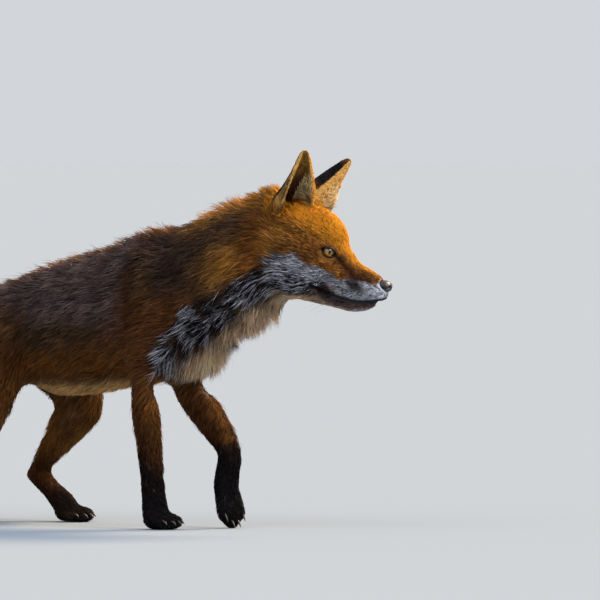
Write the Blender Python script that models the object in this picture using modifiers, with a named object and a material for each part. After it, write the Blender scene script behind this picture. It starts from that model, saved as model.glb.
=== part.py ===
"""A red fox at life size, in a slow stalking walk with its head turned to its left.

Run with:  blender --background --python part.py

The fox faces +X, its left side is +Y and the floor is z = 0. The body is blocked out as lofts and
ellipsoids out to the tips of its coat, fused into one smooth form, and then parted by thin cuts into
the parts that a person would name. Tables are in millimetres, and MM turns them into metres.
"""

import math

import bmesh
import bpy
from mathutils import Matrix, Vector

MM = 0.001
GAP = 0.3 * MM  # clearance between neighbouring parts
RIGHT, LEFT = -1, 1

# Driving sizes, in millimetres, measured from the floor and from the line of the elbows (x = 0).
WITHERS_HEIGHT = 357
RUMP_HEIGHT = 292
BRISKET_HEIGHT = 168  # underside of the chest
HIP_X, HIP_HEIGHT = -251, 227
HEAD_CENTRE = (183, 41, 337)
HEAD_YAW, HEAD_PITCH = 28, 12  # degrees to the left, and nose down
EYE_RADIUS = 9.2
NOSE_REACH = 121  # from the centre of the skull to the tip of the nose
BOX_CENTRE = (-201, 20)  # middle of the bounding box, which becomes the origin

VOXEL = 2.6 * MM  # grid on which the blocked-out forms are fused
SMOOTHING = 24
FACE_BUDGET = 4300  # triangles of the whole coat form before it is parted
HEAD_SIMPLIFY = 0.97
PAW_SIMPLIFY = 0.97

# Finishes as linear colour and roughness. What isn't named is red fur.
RED_FUR = (0.42, 0.17, 0.06), 0.85
DARK_FUR = (0.03, 0.025, 0.025), 0.85
GREY_FUR = (0.16, 0.12, 0.1), 0.85
WHITE_FUR = (0.62, 0.57, 0.5), 0.85
AMBER = (0.35, 0.19, 0.04), 0.08
WET_LEATHER = (0.02, 0.02, 0.022), 0.35
FINISHES = {
    "trunk": GREY_FUR,
    "lower_jaw": WHITE_FUR,
    "tail_tip": WHITE_FUR,
    "ear_right": DARK_FUR,
    "ear_left": DARK_FUR,
    "forepaw_right": DARK_FUR,
    "forepaw_left": DARK_FUR,
    "hindpaw_right": DARK_FUR,
    "hindpaw_left": DARK_FUR,
    "eye_right": AMBER,
    "eye_left": AMBER,
    "nose": WET_LEATHER,
}


# ---------------------------------------------------------------- scene and materials


def clear_scene():
    for old in list(bpy.data.objects):
        bpy.data.objects.remove(old)


def collection(name, shown=True):
    made = bpy.data.collections.new(name)
    bpy.context.scene.collection.children.link(made)
    made.hide_render = not shown
    return made


def finish(name, colour, roughness):
    made = bpy.data.materials.new(name)
    made.use_nodes = True
    shader = made.node_tree.nodes["Principled BSDF"]
    shader.inputs["Base Color"].default_value = (*colour, 1)
    shader.inputs["Roughness"].default_value = roughness
    shader.inputs["Metallic"].default_value = 0
    return made


def new_object(name, mesh, group, material=None):
    made = bpy.data.objects.new(name, mesh)
    group.objects.link(made)
    if material:
        mesh.materials.clear()
        mesh.materials.append(material)
    return made


def baked(source, name, group):
    """A new object that holds the source's mesh with its modifiers applied."""
    bpy.context.view_layer.update()
    graph = bpy.context.evaluated_depsgraph_get()
    mesh = bpy.data.meshes.new_from_object(source.evaluated_get(graph))
    mesh.transform(source.matrix_world)
    return new_object(name, mesh, group)


# ---------------------------------------------------------------- blocking-out shapes


FORWARDS = Vector((1, 0, 0))


def spline(before, start, end, after, t):
    """Catmull-Rom value between start and end."""
    return 0.5 * (
        2 * start
        + (end - before) * t
        + (2 * before - 5 * start + 4 * end - after) * t**2
        + (3 * start - before - 3 * end + after) * t**3
    )


def refined(stations, steps):
    """Stations joined by smooth curves, with this many steps between each two."""
    rows = [Vector(s) for s in stations]
    rows = [2 * rows[0] - rows[1], *rows, 2 * rows[-1] - rows[-2]]
    made = []
    for i in range(1, len(rows) - 2):
        made += [spline(*rows[i - 1 : i + 3], step / steps) for step in range(steps)]
    return [*made, rows[-2]]


def loft(stations, sides=20, steps=4, facing=None):
    """A closed tube through stations of (x, y, z, half width, front or upper reach, back or lower reach).

    A section stands square to the line through the centres, or to the way it is told to face. On a line
    that runs forwards its first reach is up, and on one that runs down it is forwards.
    """
    rows = refined(stations, steps)
    centres = [row.to_3d() if len(row) == 3 else Vector(row[:3]) for row in rows]
    form = bmesh.new()
    rings = []
    for i, row in enumerate(rows):
        along = facing or (centres[min(i + 1, len(rows) - 1)] - centres[max(i - 1, 0)]).normalized()
        across = (Vector((0, 1, 0)) - along * along.y).normalized()
        front = along.cross(across)
        ring = []
        for side in range(sides):
            angle = math.tau * side / sides
            reach = row[4] if math.sin(angle) > 0 else row[5]
            point = centres[i] + across * row[3] * math.cos(angle) + front * reach * math.sin(angle)
            ring.append(form.verts.new(point * MM))
        rings.append(ring)
    for first, second in zip(rings, rings[1:]):
        for side in range(sides):
            after = (side + 1) % sides
            form.faces.new((first[side], first[after], second[after], second[side]))
    form.faces.new(rings[0][::-1])
    form.faces.new(rings[-1])
    bmesh.ops.recalc_face_normals(form, faces=form.faces)
    mesh = bpy.data.meshes.new("loft")
    form.to_mesh(mesh)
    form.free()
    return mesh


def ellipsoid(centre, radii, turn=0.0, rings=12, segments=20):
    """An ellipsoid whose front is tipped down by turn degrees."""
    form = bmesh.new()
    bmesh.ops.create_uvsphere(form, u_segments=segments, v_segments=rings, radius=1)
    placed = (
        Matrix.Translation(Vector(centre) * MM)
        @ Matrix.Rotation(math.radians(turn), 4, "Y")
        @ Matrix.Diagonal((*(Vector(radii) * MM), 1))
    )
    bmesh.ops.transform(form, matrix=placed, verts=form.verts)
    mesh = bpy.data.meshes.new("ellipsoid")
    form.to_mesh(mesh)
    form.free()
    return mesh


def mirrored_pair(centre, radii, turn=0.0):
    x, y, z = centre
    return [ellipsoid((x, y * side, z), radii, turn) for side in (LEFT, RIGHT)]


def head_frame():
    """Where the head's own axes stand: x to the nose, y to its left, z up through the crown."""
    return (
        Matrix.Translation(Vector(HEAD_CENTRE) * MM)
        @ Matrix.Rotation(math.radians(HEAD_YAW), 4, "Z")
        @ Matrix.Rotation(math.radians(HEAD_PITCH), 4, "Y")
    )


def joined(meshes, name, group, matrix=None):
    form = bmesh.new()
    for mesh in meshes:
        form.from_mesh(mesh)
        bpy.data.meshes.remove(mesh)
    whole = bpy.data.meshes.new(name)
    form.to_mesh(whole)
    form.free()
    if matrix:
        whole.transform(matrix)
    return new_object(name, whole, group)


# ---------------------------------------------------------------- trunk, neck and tail


def upright(x, top, bottom, half_width, y=0):
    """A trunk station from its top and bottom heights."""
    middle = bottom + 0.5 * (top - bottom)
    return (x, y, middle, half_width, top - middle, middle - bottom)


def trunk_forms():
    back = WITHERS_HEIGHT
    spine = [
        upright(-322, 262, 226, 24),
        upright(-302, 278, 205, 42),
        upright(-270, RUMP_HEIGHT, 190, 51),
        upright(-235, 303, 166, 52),
        upright(-198, 314, 152, 51),
        upright(-158, 324, 151, 53),
        upright(-118, 332, 155, 57),
        upright(-76, 342, 162, 59),
        upright(-38, back - 5, BRISKET_HEIGHT - 1, 58),
        upright(2, back, BRISKET_HEIGHT, 55),
        upright(38, back - 6, BRISKET_HEIGHT + 7, 51),
        upright(68, back - 34, BRISKET_HEIGHT + 20, 43),
        upright(92, back - 70, BRISKET_HEIGHT + 46, 26),
    ]
    shoulder_blade = mirrored_pair((0, 36, 292), (46, 23, 58), turn=-24)
    upper_arm = mirrored_pair((18, 40, 224), (46, 22, 46), turn=20)
    haunch = mirrored_pair((HIP_X - 6, 33, HIP_HEIGHT + 12), (52, 24, 50))
    return [loft(spine, sides=28, facing=FORWARDS), *shoulder_blade, *upper_arm, *haunch]


def neck_forms():
    """The neck rises forwards and bends to the left, to meet the head square to its turn."""
    stations = [
        (8, 0, 268, 52, 89, 86),
        (52, 2, 290, 54, 85, 87),
        (92, 8, 311, 52, 72, 84),
        (127, 19, 331, 50, 66, 83),
        (154, 29, 341, 49, 65, 79),
        (174, 37, 343, 42, 58, 58),
    ]
    return [loft(stations, sides=24)]


def tail_forms():
    """From the tip of the brush forwards to its root."""
    stations = [
        (-688, 12, 188, 3, 3, 3),
        (-676, 12, 187, 14, 14, 14),
        (-645, 11, 187, 29, 29, 28),
        (-595, 10, 191, 40, 40, 38),
        (-535, 8, 202, 43, 42, 42),
        (-470, 5, 220, 40, 38, 40),
        (-405, 3, 240, 33, 32, 34),
        (-350, 1, 257, 26, 26, 27),
        (-300, 0, 266, 26, 25, 28),
        (-265, 0, 262, 28, 26, 30),
    ]
    return [loft(stations, sides=18)]


# ---------------------------------------------------------------- legs

# Joints of each leg, in millimetres. The right fore and both hind paws carry the fox, and the left fore
# paw is coming down, with only its toe tips on the floor.
HIP = {RIGHT: (HIP_X, -36, HIP_HEIGHT), LEFT: (HIP_X, 36, HIP_HEIGHT)}
ELBOW = {RIGHT: (4, -43, 180), LEFT: (-14, 42, 180)}
WRIST = {RIGHT: (19, -43, 66), LEFT: (66, 42, 93)}
FORE_KNUCKLE = {RIGHT: (24, -43, 20), LEFT: (57, 42, 50)}
KNEE = {RIGHT: (-262, -45, 118), LEFT: (-176, 45, 150)}
HOCK = {RIGHT: (-380, -44, 78), LEFT: (-272, 44, 59)}
HIND_KNUCKLE = {RIGHT: (-397, -44, 20), LEFT: (-222, 44, 20)}

TOE_SPACING = 9.6
CLAW_LENGTH, CLAW_RADIUS = 9.5, 2.2
PAWS = {
    ("fore", RIGHT): {"knuckle": (30, -43, 11), "toes_point": (1, 0, -0.14), "toe_length": 31},
    ("fore", LEFT): {"knuckle": (58, 42, 48), "toes_point": (0.25, 0, -1), "toe_length": 50},
    ("hind", RIGHT): {"knuckle": (-390, -44, 11), "toes_point": (1, 0, -0.14), "toe_length": 34},
    ("hind", LEFT): {"knuckle": (-214, 44, 11), "toes_point": (1, 0, -0.14), "toe_length": 34},
}


def between(start, end, share, *sizes):
    """A loft station at a share of the way from one joint to the next."""
    return (*Vector(start).lerp(Vector(end), share), *sizes)


def toe_lines(side, paw):
    """The root and tip of each of a paw's four toes, which fan out, the middle two longest."""
    place = PAWS[paw, side]
    direction = Vector(place["toes_point"]).normalized()
    lines = []
    for step in (-1.5, -0.5, 0.5, 1.5):
        reach = place["toe_length"] * (1 if abs(step) < 1 else 0.82)
        root = Vector(place["knuckle"]) + Vector((0, step * TOE_SPACING * 0.7, 0))
        tip = Vector(place["knuckle"]) + direction * reach + Vector((0, step * TOE_SPACING, 0))
        lines.append((root, tip))
    return lines


def toes(side, paw):
    forms = []
    for root, tip in toe_lines(side, paw):
        stations = [
            (*root, 8.4, 9.6, 8.8),
            (*root.lerp(tip, 0.5), 8.4, 10.4, 8.4),
            (*root.lerp(tip, 0.85), 8, 8.8, 8),
            (*tip, 3.6, 4.2, 3.6),
        ]
        forms.append(loft(stations, sides=12, steps=3))
    return forms


def claws(side, paw, group):
    """A short curved claw from the upper side of each toe's tip."""
    made = []
    for root, tip in toe_lines(side, paw):
        along = (tip - root).normalized()
        start = tip - along * 6 + Vector((0, 0, 2.5)) + Vector((3, 0, 2)) * abs(along.z)
        end = start + (along + Vector((0.6, 0, 0)) * abs(along.z)).normalized() * CLAW_LENGTH
        end.z = max(end.z - 3.5, 1.0)
        middle = start.lerp(end, 0.55) + Vector((0, 0, 1.2))
        stations = [
            (*start, CLAW_RADIUS, CLAW_RADIUS, CLAW_RADIUS),
            (*middle, CLAW_RADIUS * 0.8, CLAW_RADIUS * 0.8, CLAW_RADIUS * 0.8),
            (*end, 0.7, 0.7, 0.7),
        ]
        made.append(joined([loft(stations, sides=6, steps=1)], "claw", group))
    return made


def right_foreleg_forms():
    """Straight and upright, carrying the fox."""
    elbow, wrist, knuckle = ELBOW[RIGHT], WRIST[RIGHT], FORE_KNUCKLE[RIGHT]
    stations = [
        between(elbow, wrist, -0.25, 19, 30, 32),
        between(elbow, wrist, 0.0, 19, 23, 26),
        between(elbow, wrist, 0.25, 17.5, 21, 23),
        between(elbow, wrist, 0.6, 16.5, 19.5, 19.5),
        between(elbow, wrist, 0.9, 15.5, 18, 18),
        between(wrist, knuckle, 0.1, 15, 17, 17),
        between(wrist, knuckle, 0.55, 14.5, 15, 16),
        between(wrist, knuckle, 1.0, 17, 17, 15),
        between(wrist, knuckle, 1.3, 14, 14, 12),
    ]
    palm = ellipsoid((28, -43, 12), (19, 18, 14))
    return [loft(stations), palm, *toes(RIGHT, "fore")]


def left_foreleg_forms():
    """Swung forwards with the wrist bent, toes just reaching the floor."""
    elbow, wrist, knuckle = ELBOW[LEFT], WRIST[LEFT], FORE_KNUCKLE[LEFT]
    forearm = [
        between(elbow, wrist, -0.22, 20, 30, 32),
        between(elbow, wrist, 0.1, 19, 27, 28),
        between(elbow, wrist, 0.4, 18, 26, 26),
        between(elbow, wrist, 0.7, 16.5, 22, 22),
        between(elbow, wrist, 0.93, 15.5, 18.5, 18.5),
        between(elbow, wrist, 1.08, 13, 13, 13),
    ]
    hand = [
        between(wrist, knuckle, -0.15, 14, 14, 14),
        between(wrist, knuckle, 0.15, 15.5, 17.5, 16),
        between(wrist, knuckle, 0.5, 15, 15.5, 15),
        between(wrist, knuckle, 1.0, 17, 15, 15),
        between(wrist, knuckle, 1.25, 14, 11, 12),
    ]
    return [loft(forearm), loft(hand), *toes(LEFT, "fore")]


def hindleg_forms(side):
    """Thigh, shank and foot. The calf and the thigh are deepest behind."""
    hip, knee, hock, knuckle = HIP[side], KNEE[side], HOCK[side], HIND_KNUCKLE[side]
    thigh = [
        between(hip, knee, -0.3, 20, 44, 50),
        between(hip, knee, 0.05, 26, 54, 60),
        between(hip, knee, 0.4, 26, 49, 57),
        between(hip, knee, 0.72, 23, 38, 46),
        between(hip, knee, 1.0, 19, 25, 32),
        between(hip, knee, 1.12, 14, 14, 20),
    ]
    shank = [
        between(knee, hock, -0.1, 18, 20, 28),
        between(knee, hock, 0.1, 21, 27, 42),
        between(knee, hock, 0.36, 19.5, 25, 39),
        between(knee, hock, 0.62, 16.5, 19, 27),
        between(knee, hock, 0.86, 13.5, 14, 18),
        between(knee, hock, 1.02, 12.5, 12, 15),
        between(knee, hock, 1.1, 9, 8, 10),
    ]
    foot = [
        between(hock, knuckle, -0.12, 10, 10, 10),
        between(hock, knuckle, 0.1, 12.5, 14, 14),
        between(hock, knuckle, 0.5, 13, 13, 12),
        between(hock, knuckle, 0.95, 16, 15, 13),
        between(hock, knuckle, 1.2, 14, 12, 11),
    ]
    palm = ellipsoid(Vector(knuckle) + Vector((5, 0, -8)), (18, 17, 13))
    return [loft(thigh), loft(shank), loft(foot), palm, *toes(side, "hind")]


# ---------------------------------------------------------------- head


def head_forms():
    """Skull, muzzle, jaw, cheeks and brows, in the head's own axes."""
    muzzle = [
        upright(34, 26, -44, 33),
        upright(52, 18, -47, 28),
        upright(64, 7, -50, 24),
        upright(75, -3, -51, 21),
        upright(86, -7, -51, 18.5),
        upright(98, -11, -49, 16.5),
        upright(108, -16, -46, 15),
        upright(114, -21, -43, 12),
        upright(117, -26, -39, 8),
    ]
    jaw = [
        upright(-8, -28, -63, 30),
        upright(18, -34, -63, 27),
        upright(40, -38, -63, 21),
        upright(60, -40, -63, 16.5),
        upright(78, -40, -63.5, 13.5),
        upright(92, -40, -60, 12),
        upright(101, -40, -55, 10),
        upright(107, -40, -50, 7.5),
    ]
    skull = ellipsoid((7.5, 0, 8), (52, 43, 44))
    cheeks = mirrored_pair((2, 24, -25), (42, 29, 35), turn=6)
    cheek_ruff = mirrored_pair((-26, 26, -16), (42, 31, 44), turn=-14)
    cheekbones = mirrored_pair((34, 21, -12), (28, 14, 15), turn=10)
    brows = mirrored_pair((40, 15, 12), (14, 11, 9), turn=35)
    throat = mirrored_pair((-14, 10, -42), (33, 28, 28))
    ear_roots = mirrored_pair((-8, 27, 29), (24, 17, 19))
    return [
        loft(muzzle, facing=FORWARDS),
        loft(jaw, facing=FORWARDS),
        skull,
        *cheeks,
        *cheek_ruff,
        *throat,
        *cheekbones,
        *brows,
        *ear_roots,
    ]


EYE_CENTRE = (40.8, 20.9, 1.5)
EYE_OPENING = (8.8, 5.0)  # half length and half height of the slit between the lids
EYE_TILT = 14  # degrees that the outer corner stands above the inner one
EYE_FACES = (0.55, 0.83, 0.06)  # the way an eye looks out of the head, for the left side


def eyeball(side):
    x, y, z = EYE_CENTRE
    return ellipsoid((x, y * side, z), (EYE_RADIUS,) * 3, rings=8, segments=12)


def eye_socket(side, group):
    """The space around an eyeball, and the almond between the lids that opens it."""
    x, y, z = EYE_CENTRE
    centre = Vector((x, y * side, z))
    outwards = Vector((EYE_FACES[0], EYE_FACES[1] * side, EYE_FACES[2])).normalized()
    along = Vector((0, 0, 1)).cross(outwards).normalized()
    upwards = outwards.cross(along)
    tilt = math.radians(EYE_TILT) * side
    along, upwards = (
        along * math.cos(tilt) + upwards * math.sin(tilt),
        upwards * math.cos(tilt) - along * math.sin(tilt),
    )
    axes = Matrix((along, upwards, outwards)).transposed().to_4x4()
    almond = bmesh.new()
    bmesh.ops.create_uvsphere(almond, u_segments=16, v_segments=8, radius=1)
    size = Matrix.Diagonal((EYE_OPENING[0], EYE_OPENING[1], 9, 1))
    place = Matrix.Translation((centre + outwards * EYE_RADIUS) * MM) @ Matrix.Scale(MM, 4)
    bmesh.ops.transform(almond, matrix=place @ axes @ size, verts=almond.verts)
    opening = bpy.data.meshes.new("eye_opening")
    almond.to_mesh(opening)
    almond.free()
    socket = ellipsoid(centre, (EYE_RADIUS + 1.5 * GAP / MM,) * 3, rings=8, segments=12)
    return [joined([mesh], "eye_cutter", group, head_frame()) for mesh in (socket, opening)]


def nose_pad():
    """The bare, wet leather of the nose."""
    stations = [
        upright(NOSE_REACH - 18, -19, -31, 8),
        upright(NOSE_REACH - 11, -17.5, -32, 10),
        upright(NOSE_REACH - 5, -17.5, -32, 10.2),
        upright(NOSE_REACH - 1.5, -19.5, -30.5, 8),
        upright(NOSE_REACH, -22, -27.5, 4.5),
    ]
    return loft(stations, sides=14, steps=1)


# An ear's sections as (share of its length, half width, half the angle that its cup wraps round).
EAR_WALL = 5.0
EAR_SECTIONS = {
    RIGHT: [
        (0.0, 24, 112),
        (0.15, 25, 108),
        (0.3, 24, 98),
        (0.45, 21.5, 86),
        (0.6, 18, 73),
        (0.75, 13.5, 60),
        (0.87, 9.8, 52),
        (0.95, 6.6, 46),
        (1.0, 3.6, 40),
    ],
    LEFT: [
        (0.0, 19, 100),
        (0.15, 22, 96),
        (0.3, 22.5, 88),
        (0.45, 20.5, 79),
        (0.6, 17.5, 70),
        (0.75, 13.5, 60),
        (0.87, 9.8, 52),
        (0.95, 6.6, 46),
        (1.0, 3.6, 40),
    ],
}
# Base of each ear and the ways it points and opens, in the head's axes. The right ear is turned out to
# the side and the left one is turned away.
EARS = {
    RIGHT: {"length": 85, "base": (-10.5, -28, 31), "points": (0.08, -0.22, 1), "opens": (0.83, -0.56, 0.1)},
    LEFT: {"length": 90, "base": (-17, 27, 32), "points": (0.49, 0.2, 0.87), "opens": (0.36, 0.93, 0)},
}


def ear_shell(side):
    """A pointed cup, open to the front, with a wall of even thickness."""
    place = EARS[side]
    up = Vector(place["points"]).normalized()
    front = Vector(place["opens"])
    front = (front - up * front.dot(up)).normalized()
    across = up.cross(front)
    rows = refined([(share * place["length"], width, wrap) for share, width, wrap in EAR_SECTIONS[side]], 1)
    columns = 6
    form = bmesh.new()
    lines = []
    for height, width, wrap in rows:
        half_wrap = math.radians(wrap)
        radius = width / math.sin(half_wrap)
        line = []
        for column in range(columns + 1):
            turn = half_wrap * (2 * column / columns - 1)
            forward = radius * (math.cos(half_wrap) - math.cos(turn)) + 0.4 * width
            point = Vector(place["base"]) + up * height + front * forward + across * radius * math.sin(turn)
            line.append(form.verts.new(point * MM))
        lines.append(line)
    for first, second in zip(lines, lines[1:]):
        for column in range(columns):
            form.faces.new((first[column], first[column + 1], second[column + 1], second[column]))
    mesh = bpy.data.meshes.new("ear")
    form.to_mesh(mesh)
    form.free()
    return mesh


# The mouth line is an arc that dips towards its middle, in the head's axes.
MOUTH_LOWEST = (74, -50)
MOUTH_ARC_RADIUS = 100
JAW_BOX = ((110, 0, -75), (156, 110, 90))  # from the corner of the mouth forwards


# ---------------------------------------------------------------- where the body is parted

# Boxes that part the body, in the order in which they are cut off, as centre, size and turn in degrees.
CUTS = {
    "head": ((243, 62, 340), (200, 260, 320), (0, -18, 25)),
    "neck": ((160, 10, 345), (230, 240, 330), (0, -29, 0)),
    "tail_tip": ((-712, 12, 190), (200, 120, 120), (0, 0, 0)),
    "tail_base": ((-480, 5, 222), (332, 120, 130), (0, -14, 0)),
    "forepaw_right": ((25, -55, 12), (110, 80, 90), (0, 0, 0)),
    "forepaw_left": ((70, 55, 30), (110, 80, 110), (0, 10, 0)),
    "foreleg_right": ((10, -65, 105), (120, 120, 118), (0, 0, 0)),
    "foreleg_left": ((35, 65, 112), (140, 120, 104), (0, 0, 0)),
    "hindpaw_right": ((-408, -55, 22), (130, 80, 92), (0, 0, 0)),
    "hindpaw_left": ((-240, 55, 20), (120, 80, 84), (0, 0, 0)),
    "shank_right": ((-330, -60, 82), (200, 100, 96), (0, 14, 0)),
    "shank_left": ((-225, 60, 90), (170, 100, 90), (0, -8, 0)),
    "thigh_right": ((-260, -72, 172), (144, 120, 130), (0, -4, 0)),
    "thigh_left": ((-216, 72, 176), (130, 120, 124), (0, -30, 0)),
}
PAW_NAMES = {
    "forepaw_right": (RIGHT, "fore"),
    "forepaw_left": (LEFT, "fore"),
    "hindpaw_right": (RIGHT, "hind"),
    "hindpaw_left": (LEFT, "hind"),
}


# ---------------------------------------------------------------- fusing and parting


def fused(forms, name, group):
    """The forms as one smooth skin with few faces, softened most where the coat is deep."""
    blocked = joined(forms, name, group)
    remesh = blocked.modifiers.new("fuse", "REMESH")
    remesh.mode = "VOXEL"
    remesh.voxel_size = VOXEL
    fine = baked(blocked, name + "_fine", group)
    soft = fine.vertex_groups.new(name="soften")
    simple = fine.vertex_groups.new(name="simplify")
    to_head = head_frame().inverted()
    for vertex in fine.data.vertices:
        from_head = to_head @ vertex.co / MM
        on_head = from_head.x > -30 and from_head.z > -80 and vertex.co.z > 0.2
        on_muzzle = on_head and from_head.x > 52
        on_paw = vertex.co.z < 0.04
        soft.add([vertex.index], 0.2 if on_muzzle else 0.1 if on_paw else 1.0, "REPLACE")
        simple.add([vertex.index], HEAD_SIMPLIFY if on_head else PAW_SIMPLIFY if on_paw else 1.0, "REPLACE")
    smooth = fine.modifiers.new("smooth", "SMOOTH")
    smooth.iterations = SMOOTHING
    smooth.factor = 0.5
    smooth.vertex_group = soft.name
    fewer = fine.modifiers.new("fewer", "DECIMATE")
    fewer.ratio = FACE_BUDGET / (2 * len(fine.data.polygons))
    fewer.vertex_group = simple.name
    fewer.vertex_group_factor = 1.0
    made = baked(fine, name + "_whole", group)
    bpy.data.objects.remove(blocked)
    bpy.data.objects.remove(fine)
    return made


def boolean(target, cutter, operation):
    cut = target.modifiers.new(operation.lower(), "BOOLEAN")
    cut.operation = operation
    cut.object = cutter
    cut.solver = "EXACT"


def as_cutter(obj):
    obj.hide_render = True
    obj.display_type = "WIRE"
    return obj


def box(centre, size, turn, group, grow=0.0):
    """A box cutter, in millimetres, turned about its centre by (x, y, z) degrees and grown all round."""
    form = bmesh.new()
    bmesh.ops.create_cube(form, size=1)
    grown = (Vector(size) * MM) + Vector((2 * grow,) * 3)
    placed = Matrix.Translation(Vector(centre) * MM)
    for axis, angle in zip("ZYX", reversed(turn)):
        placed = placed @ Matrix.Rotation(math.radians(angle), 4, axis)
    bmesh.ops.transform(form, matrix=placed @ Matrix.Diagonal((*grown, 1)), verts=form.verts)
    mesh = bpy.data.meshes.new("box")
    form.to_mesh(mesh)
    form.free()
    return as_cutter(new_object("box", mesh, group))


def combined(target, others, operation, group):
    """The target with the others added to it or taken off it. They are used up."""
    for other in others:
        boolean(target, as_cutter(other), operation)
    made = baked(target, target.name, group)
    for used in (target, *others):
        bpy.data.objects.remove(used)
    return made


def grown_copy(source, group):
    """A copy whose surface stands a gap outside the source's."""
    mesh = source.data.copy()
    form = bmesh.new()
    form.from_mesh(mesh)
    form.normal_update()
    for vertex in form.verts:
        vertex.co += vertex.normal * GAP * 1.4
    form.to_mesh(mesh)
    form.free()
    return new_object(source.name + "_grown", mesh, group)


def ear(side, group):
    shell = joined([ear_shell(side)], "ear_shell", group, head_frame())
    wall = shell.modifiers.new("wall", "SOLIDIFY")
    wall.thickness = EAR_WALL * MM
    wall.offset = 0
    wall.use_even_offset = True
    made = baked(shell, "ear", group)
    bpy.data.objects.remove(shell)
    return made


def lower_jaw_cutters(group):
    """What takes the lower jaw off the head: a box whose top follows the curve of the mouth."""
    cutters = []
    for grow in (0, GAP):
        block = box(JAW_BOX[0], JAW_BOX[1], (0, 0, 0), group, grow)
        form = bmesh.new()
        bmesh.ops.create_cone(
            form,
            cap_ends=True,
            segments=72,
            radius1=MOUTH_ARC_RADIUS * MM - grow,
            radius2=MOUTH_ARC_RADIUS * MM - grow,
            depth=0.2,
        )
        middle = (MOUTH_LOWEST[0], 0, MOUTH_LOWEST[1] + MOUTH_ARC_RADIUS)
        placed = Matrix.Translation(Vector(middle) * MM) @ Matrix.Rotation(math.radians(90), 4, "X")
        bmesh.ops.transform(form, matrix=placed, verts=form.verts)
        mesh = bpy.data.meshes.new("mouth_arc")
        form.to_mesh(mesh)
        form.free()
        arc = as_cutter(new_object("mouth_arc", mesh, group))
        boolean(block, arc, "DIFFERENCE")
        cutter = as_cutter(baked(block, "jaw_cutter", group))
        cutter.data.transform(head_frame())
        for used in (block, arc):
            bpy.data.objects.remove(used)
        cutters.append(cutter)
    return cutters


def part_off_with(whole, name, inner, outer, group):
    """Cuts what lies in one cutter off the whole, and leaves what lies outside the larger one."""
    rest = new_object(whole.name + "_rest", whole.data.copy(), group)
    boolean(whole, inner, "INTERSECT")
    boolean(rest, outer, "DIFFERENCE")
    piece = baked(whole, name, group)
    left = baked(rest, whole.name, group)
    for used in (whole, rest, inner, outer):
        bpy.data.objects.remove(used)
    return piece, left


def part_off(whole, name, place, group):
    """Cuts off what lies in a box, given as its centre, size and turn."""
    inner = box(*place, group)
    outer = box(*place, group, grow=GAP)
    return part_off_with(whole, name, inner, outer, group)


def parted(whole, group):
    """The whole coat form cut into its named pieces."""
    floor = box((-200, 0, -50), (1200, 400, 100), (0, 0, 0), group)
    whole = combined(whole, [floor], "DIFFERENCE", group)
    pieces = {}
    for name, place in CUTS.items():
        pieces[name], whole = part_off(whole, name, place, group)
    pieces["trunk"] = whole
    for name, (side, paw) in PAW_NAMES.items():
        pieces[name] = combined(pieces[name], claws(side, paw, group), "UNION", group)
    return pieces


def with_features(pieces, group):
    """Adds ears, eyes and nose, cuts their places in the head, and parts off the lower jaw."""
    head = pieces["head"]
    for side, name in ((RIGHT, "right"), (LEFT, "left")):
        pieces["ear_" + name] = combined(ear(side, group), [grown_copy(head, group)], "DIFFERENCE", group)
        head = combined(head, eye_socket(side, group), "DIFFERENCE", group)
        pieces["eye_" + name] = joined([eyeball(side)], "eye", group, head_frame())
    pieces["nose"] = joined([nose_pad()], "nose", group, head_frame())
    head = combined(head, [grown_copy(pieces["nose"], group)], "DIFFERENCE", group)
    jaw, head = part_off_with(head, "lower_jaw", *lower_jaw_cutters(group), group)
    return pieces | {"lower_jaw": jaw, "head": head}


def main():
    clear_scene()
    fox = collection("red_fox")
    work = collection("work", shown=False)
    forms = [
        *trunk_forms(),
        *neck_forms(),
        *tail_forms(),
        *right_foreleg_forms(),
        *left_foreleg_forms(),
        *hindleg_forms(LEFT),
        *hindleg_forms(RIGHT),
    ]
    for mesh in head_forms():
        mesh.transform(head_frame())
        forms.append(mesh)
    pieces = with_features(parted(fused(forms, "coat", work), work), work)

    to_origin = Matrix.Translation((-BOX_CENTRE[0] * MM, -BOX_CENTRE[1] * MM, 0))
    for name, piece in pieces.items():
        mesh = piece.data.copy()
        mesh.name = name
        mesh.transform(to_origin)
        mesh.shade_smooth()
        mesh.set_sharp_from_angle(angle=math.radians(40))
        bpy.data.objects.remove(piece)
        new_object(name, mesh, fox, finish(name, *FINISHES.get(name, RED_FUR)))


if __name__ == "__main__":
    main()
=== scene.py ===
import math

import bmesh
import bpy
import numpy as np
from mathutils import Matrix, Vector
from mathutils.bvhtree import BVHTree
from mathutils.kdtree import KDTree


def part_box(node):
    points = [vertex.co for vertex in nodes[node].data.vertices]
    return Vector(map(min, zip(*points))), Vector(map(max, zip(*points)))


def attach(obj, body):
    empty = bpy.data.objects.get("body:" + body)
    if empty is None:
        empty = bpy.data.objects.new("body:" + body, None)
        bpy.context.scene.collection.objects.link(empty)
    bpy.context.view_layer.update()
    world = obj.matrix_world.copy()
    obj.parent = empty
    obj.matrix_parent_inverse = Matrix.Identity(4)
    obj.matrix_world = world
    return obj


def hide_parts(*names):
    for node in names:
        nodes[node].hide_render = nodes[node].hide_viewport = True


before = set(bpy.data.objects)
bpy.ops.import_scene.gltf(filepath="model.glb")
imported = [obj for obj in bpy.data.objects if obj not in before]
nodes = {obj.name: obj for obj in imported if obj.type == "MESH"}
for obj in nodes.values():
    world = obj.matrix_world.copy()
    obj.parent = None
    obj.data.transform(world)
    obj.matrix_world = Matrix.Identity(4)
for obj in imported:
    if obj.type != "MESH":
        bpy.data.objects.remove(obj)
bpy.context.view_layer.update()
mm = 0.001
sides = {"right": -1, "left": 1}
rng = np.random.default_rng(11)
fleshNodes = [name for name in nodes if not name.startswith(("eye", "nose"))]


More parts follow.
